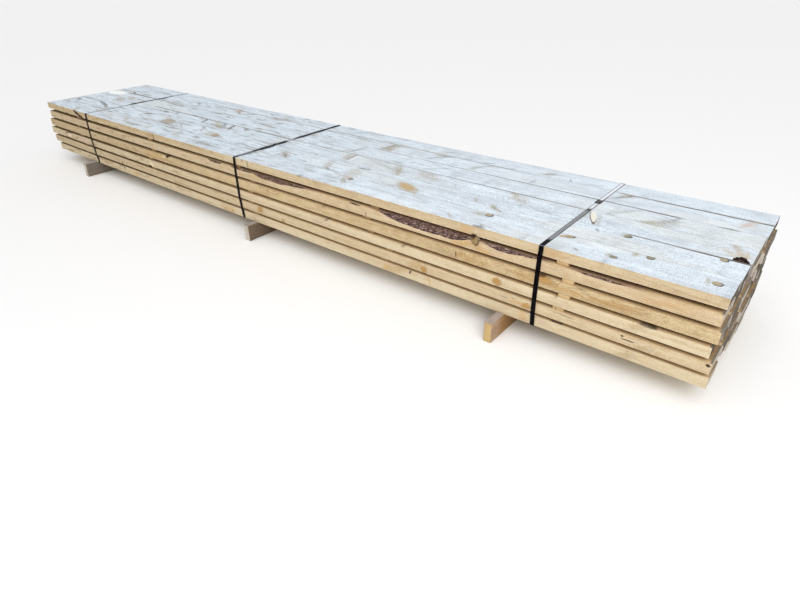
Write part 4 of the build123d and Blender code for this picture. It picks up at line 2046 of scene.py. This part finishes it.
FRONT_MARKS: dict[int, tuple[Mark, ...]] = {
    1: upright(
        Mark(K.PITCH, 470, 345, 34, 10, -22, 1.0),
        Mark(K.PITCH, 515, 331, 38, 11, -24, 1.0),
        Mark(K.PITCH, 553, 321, 14, 9, -30, 0.9),
        Mark(K.SPECK, 3925, 321, 14, 6, 0, 0.95),
        Mark(K.RESIN, 3880, 334, 40, 14, 20, 0.5),
        Mark(K.STREAK, 3940, 361, 26, 3, 0, 0.8),
        Mark(K.STREAK, 1524, 334, 9, 22, 0, 0.6),
        Mark(K.STREAK, 2425, 352, 7, 7, 0, 0.7),
        Mark(K.STREAK, 2470, 338, 6, 18, 0, 0.7),
        Mark(K.STREAK, 2884, 359, 16, 4, 0, 0.5),
        Mark(K.STREAK, 4640, 342, 130, 1.2, -2, 0.4),
        Mark(K.STREAK, 4760, 333, 90, 1.0, -3, 0.35),
        Mark(K.RESIN, 4270, 340, 40, 12, 0, 0.5),
    ),
    2: (
        # Bark colour on the top face behind the wane, painted lighter to stand in for light in the
        # gap
        Mark(K.BARK_PAINTED_LIT, 3675, 14, 315, 70, 0, 0.95),
        Mark(K.BARK_PAINTED_LIT, 4100, 14, 165, 70, 0, 0.95),
        Mark(K.BARK_PAINTED_LIT, 4470, 14, 150, 60, 0, 0.8),
        Mark(K.BARK_PAINTED_LIT, 2655, 14, 350, 70, 0, 0.95),
        *upright(
            Mark(K.RESIN, 3868, 270, 60, 12, 14, 0.75),
            Mark(K.RESIN, 3968, 266, 40, 13, -20, 0.8),
            Mark(K.STUB, 3935, 300, 17, 19, 0, 1.0),
            Mark(K.STREAK, 3334, 268, 4, 8, 0, 0.6),
            Mark(K.RESIN, 4700, 280, 90, 16, 4, 0.35),
            Mark(K.RESIN, 2520, 284, 20, 9, 0, 0.5),
        ),
    ),
    3: upright(
        Mark(K.SPECK, 3845, 212, 3.0, 14, 4, 0.9),
        Mark(K.SWIRL, 3920, 207, 72, 19, -4, 0.95),
        Mark(K.SWIRL, 4170, 214, 46, 18, 0, 0.95),
        Mark(K.AMBER, 4262, 222, 44, 17, -6, 0.75),
        Mark(K.SPECK, 4240, 239, 16, 7, 0, 0.7),
        Mark(K.AMBER, 4540, 213, 105, 13, 4, 0.4),
        Mark(K.RESIN, 4350, 208, 60, 12, 0, 0.5),
        Mark(K.STREAK, 4400, 234, 24, 3, 0, 0.7),
        Mark(K.SPECK, 1650, 234, 22, 7, 10, 0.9),
        Mark(K.CREAM, 1612, 226, 26, 8, 10, 0.5),
        Mark(K.RESIN, 1500, 214, 120, 18, 0, 0.35),
        Mark(K.OLIVE, 3780, 205, 50, 20, 0, 0.3),
        Mark(K.STREAK, 3052, 236, 12, 5, 0, 0.5),
        Mark(K.SWIRL, 2620, 212, 90, 16, 10, 0.5),
    ),
    4: (
        *upright(
            Mark(K.AMBER, 4052, 148, 21, 17, 0, 0.95),
        ),
        # A dark wedge painted on the top face where the gap widens: painted shade
        Mark(K.SPECK, 4658, -10, 32, 30, 0, 0.85),
        *upright(
            Mark(K.GOLD, 4630, 158, 34, 14, 30, 0.35),
            Mark(K.STREAK, 3062, 168, 14, 5, 30, 0.8),
            Mark(K.STREAK, 3558, 167, 12, 5, 30, 0.7),
            Mark(K.STREAK, 4310, 169, 5, 4, 0, 0.8),
            Mark(K.SHADE, 3010, 148, 60, 16, 20, 0.35),
            Mark(K.STREAK, 260, 168, 70, 7, 6, 0.8),
            Mark(K.CREAM, 262, 150, 34, 14, 0, 0.6),
            Mark(K.ROSE, 480, 150, 60, 16, 0, 0.8),
            Mark(K.CREAM, 1428, 142, 34, 12, 0, 0.7),
            Mark(K.SPECK, 1412, 130, 18, 5, -8, 0.8),
        ),
    ),
    5: upright(
        Mark(K.SWIRL, 3628, 88, 46, 18, 20, 1.0),
        Mark(K.AMBER, 3674, 79, 15, 15, 30, 1.0),
        Mark(K.AMBER, 4190, 80, 20, 13, 10, 0.85),
        Mark(K.RESIN, 4150, 84, 40, 6, 6, 0.7),
        Mark(K.AMBER, 2528, 93, 21, 16, 20, 0.9),
        Mark(K.AMBER, 2716, 71, 10, 12, 0, 0.8),
        Mark(K.SPECK, 4579, 99, 5, 4, 0, 1.0),
        Mark(K.SPECK, 4602, 88, 26, 2.4, 0, 1.0),
        Mark(K.STREAK, 4350, 98, 34, 2.2, -4, 0.7),
        Mark(K.SPECK, 4873, 100, 8, 6, -30, 1.0),
        Mark(K.STREAK, 4090, 88, 14, 3, 0, 0.5),
        Mark(K.STREAK, 4130, 95, 6, 3, 0, 0.6),
        Mark(K.GOLD, 4660, 76, 30, 12, 20, 0.5),
        Mark(K.SPECK, 1012, 74, 6, 12, 0, 0.7),
    ),
    6: (
        Mark(K.CLEAN, 4216, -10, 20, 14, 0, 0.5),
        *upright(
            Mark(K.SPECK, 1012, 36, 6, 12, 0, 0.7),
            Mark(K.RESIN, 1165, 24, 20, 20, 0, 0.6),
            Mark(K.STREAK, 2180, 14, 8, 8, 0, 0.8),
            Mark(K.STREAK, 2250, 12, 8, 8, 0, 0.8),
            Mark(K.RESIN, 2222, 20, 50, 16, 0, 0.5),
            Mark(K.SWIRL, 3500, 24, 78, 19, 20, 1.0),
            Mark(K.RESIN, 3440, 14, 34, 14, 50, 0.6),
            Mark(K.SPECK, 3590, 38, 5, 10, -25, 0.9),
            Mark(K.RESIN, 4175, 28, 16, 24, 20, 0.7),
            Mark(K.RESIN, 3700, 26, 6, 24, 15, 0.8),
            Mark(K.ROSE, 4262, 30, 22, 12, 0, 0.5),
            Mark(K.OLIVE, 4610, 24, 4, 22, 5, 0.4),
            Mark(K.GOLD, 4600, 14, 40, 12, 20, 0.4),
            Mark(K.SHADE, 4190, 8, 16, 8, 0, 0.4),
        ),
    ),
}


@dataclass
class LumberStack:
    """The whole stack, layer by layer, with its bearers and bindings."""

    def build(self) -> None:
        """Builds and dresses every piece."""
        tones = {
            1: (tint(214, 196, 162), tint(182, 152, 114)),
            2: (tint(216, 196, 162), tint(186, 156, 118)),
            3: (tint(212, 190, 150), tint(170, 140, 98)),
            4: (tint(222, 206, 174), tint(194, 168, 130)),
            5: (tint(214, 196, 162), tint(184, 156, 118)),
            6: (tint(220, 204, 172), tint(196, 172, 134)),
        }
        bark = Bark().material()
        for number, (early, late) in tones.items():
            marks = {0: FRONT_MARKS.get(number, ())}
            if number == 1:
                marks = dict(TOP_MARKS)
                marks[0] = TOP_MARKS[0] + FRONT_MARKS[1]
            rough = 1.3 if number == 3 else 1.0
            seams = TOP_SEAMS if number == 1 else {}
            layer = PlankLayer(number, (early, late), rough, marks, seams)
            layer.build()
            if number == 1:
                top = solids_of("plank_layer_1")[2].high.z
                # The pocket's bark lining is darkened with painted shade
                BarkPocket().hollow(layer.planks[2], top, Bark("bark_pocket", 0.5).material())
            if number == 2:
                solid = solids_of("plank_layer_2")[0]
                round_log = LogRound(front=solid.low.y, top=solid.high.z)
                round_log.trim(layer.planks[0], bark)
                round_log.leave_stub(layer.planks[0])
            layer.hand_over()
        for column in range(1, STICKER_COLUMNS + 1):
            Stickers(column).build()
        grey = (tint(128, 122, 114), tint(92, 84, 78))
        brown = (tint(118, 102, 86), tint(84, 68, 56))
        tan = (tint(186, 156, 130), tint(136, 108, 88))
        pale = (tint(204, 196, 182), tint(166, 154, 140))
        Bearer("left", grey, pale).build()
        Bearer("middle", brown, pale).build()
        Bearer("right", tan, (tint(204, 176, 124), tint(158, 128, 84)), 0.009, 0.8).build()
        Binding().build()


@dataclass
class Studio:
    """Pale floor, soft light and the camera of the photograph.

    Args:
        camera_at: The camera's place.
        yaw: How far it is turned to the right from the view straight across the stack.
        pitch: How far it looks down.
        roll: How far it is tipped to one side.
        focal_pixels: Its focal length in pixels of the photograph.
        world_strength: Light from all round, where it isn't seen straight on.
        sun_strength: Strength of the wide light from above.
        lamp_at: The lamp's place.
        lamp_power: Its power in watts.
    """

    camera_at: Triple = (2.6036, -2.2702, 1.4047)
    yaw: float = math.radians(-39.291)
    pitch: float = math.radians(31.284)
    roll: float = math.radians(0.948)
    focal_pixels: float = 569.66
    world_strength: float = 0.53
    sun_strength: float = 1.5
    lamp_at: Triple = (4.6, -3.4, 3.4)
    lamp_power: float = 90.0

    def build(self) -> None:
        """Makes the floor, the light and the camera."""
        self._floor()
        self._world()
        self._sun()
        self._lamp()
        self._camera()

    def _floor(self) -> None:
        """A plain pale floor that keeps the shadow."""
        select_only()
        bpy.ops.mesh.primitive_plane_add(size=120.0)
        floor = bpy.context.active_object
        floor.name = "studio_floor"
        pale = tint(246, 246, 246)
        g = Graph("studio_floor")
        paint = g.finish(Base_Color=pale, Roughness=0.95, Specular_IOR_Level=0.1)
        floor.data.materials.append(paint)

    def _world(self) -> None:
        """Even light from all round, seen as white."""
        world = bpy.data.worlds.new("studio")
        bpy.context.scene.world = world
        world.use_nodes = True
        tree = world.node_tree
        background = tree.nodes["Background"]
        path = tree.nodes.new("ShaderNodeLightPath")
        seen = path.outputs["Is Camera Ray"]
        for ray in ("Is Glossy Ray", "Is Transmission Ray"):
            either = tree.nodes.new("ShaderNodeMath")
            either.operation = "MAXIMUM"
            tree.links.new(seen, either.inputs[0])
            tree.links.new(path.outputs[ray], either.inputs[1])
            seen = either.outputs[0]
        level = tree.nodes.new("ShaderNodeMapRange")
        level.inputs["To Min"].default_value = self.world_strength
        level.inputs["To Max"].default_value = 1.0
        tree.links.new(seen, level.inputs["Value"])
        tree.links.new(level.outputs[0], background.inputs["Strength"])
        background.inputs["Color"].default_value = (1.0, 1.0, 1.0, 1.0)

    def _sun(self) -> None:
        """One wide soft light from above the front right, as strong everywhere."""
        sun = bpy.data.lights.new("soft_sun", "SUN")
        sun.energy = self.sun_strength
        sun.angle = math.radians(70.0)
        self._aim(sun, Vector((0.0, 0.0, 0.0)), Vector((-0.25, 0.45, -1.0)))

    def _lamp(self) -> None:
        """One soft lamp at the front right that looks at the middle of the stack."""
        lamp = bpy.data.lights.new("lamp_right", "AREA")
        lamp.shape = "RECTANGLE"
        lamp.size = lamp.size_y = 2.6
        lamp.energy = self.lamp_power
        self._aim(lamp, Vector(self.lamp_at), Vector((0, 0, 0.3)) - Vector(self.lamp_at))

    def _aim(self, light: bpy.types.Light, at: Vector, way: Vector) -> None:
        """Hangs a light.

        Args:
            light: The light.
            at: Its place.
            way: Direction of its light.
        """
        holder = bpy.data.objects.new(light.name, light)
        bpy.context.scene.collection.objects.link(holder)
        holder.location = at
        holder.rotation_mode = "QUATERNION"
        holder.rotation_quaternion = way.to_track_quat("-Z", "Y")

    def _camera(self) -> None:
        """The camera at the photograph's place and angle."""
        ahead = Vector((math.sin(self.yaw), math.cos(self.yaw), 0.0))
        right = Vector((math.cos(self.yaw), -math.sin(self.yaw), 0.0))
        up = Vector((0.0, 0.0, 1.0))
        forward = ahead * math.cos(self.pitch) - up * math.sin(self.pitch)
        down = -(ahead * math.sin(self.pitch) + up * math.cos(self.pitch))
        side = right * math.cos(self.roll) + down * math.sin(self.roll)
        below = -right * math.sin(self.roll) + down * math.cos(self.roll)
        lens = bpy.data.cameras.new("photo_camera")
        lens.sensor_width = SENSOR_WIDTH
        lens.lens = self.focal_pixels / PICTURE_WIDTH * SENSOR_WIDTH
        holder = bpy.data.objects.new("photo_camera", lens)
        bpy.context.scene.collection.objects.link(holder)
        turn = Matrix((side, -below, -forward)).transposed().to_4x4()
        holder.matrix_world = Matrix.Translation(self.camera_at) @ turn
        bpy.context.scene.camera = holder


def main() -> None:
    """Builds the stack and the studio."""
    logging.basicConfig(level=logging.INFO, format="%(name)s %(message)s")
    LumberStack().build()
    Studio().build()
    bpy.context.scene.view_settings.view_transform = "Standard"


if __name__ == "__main__":
    main()
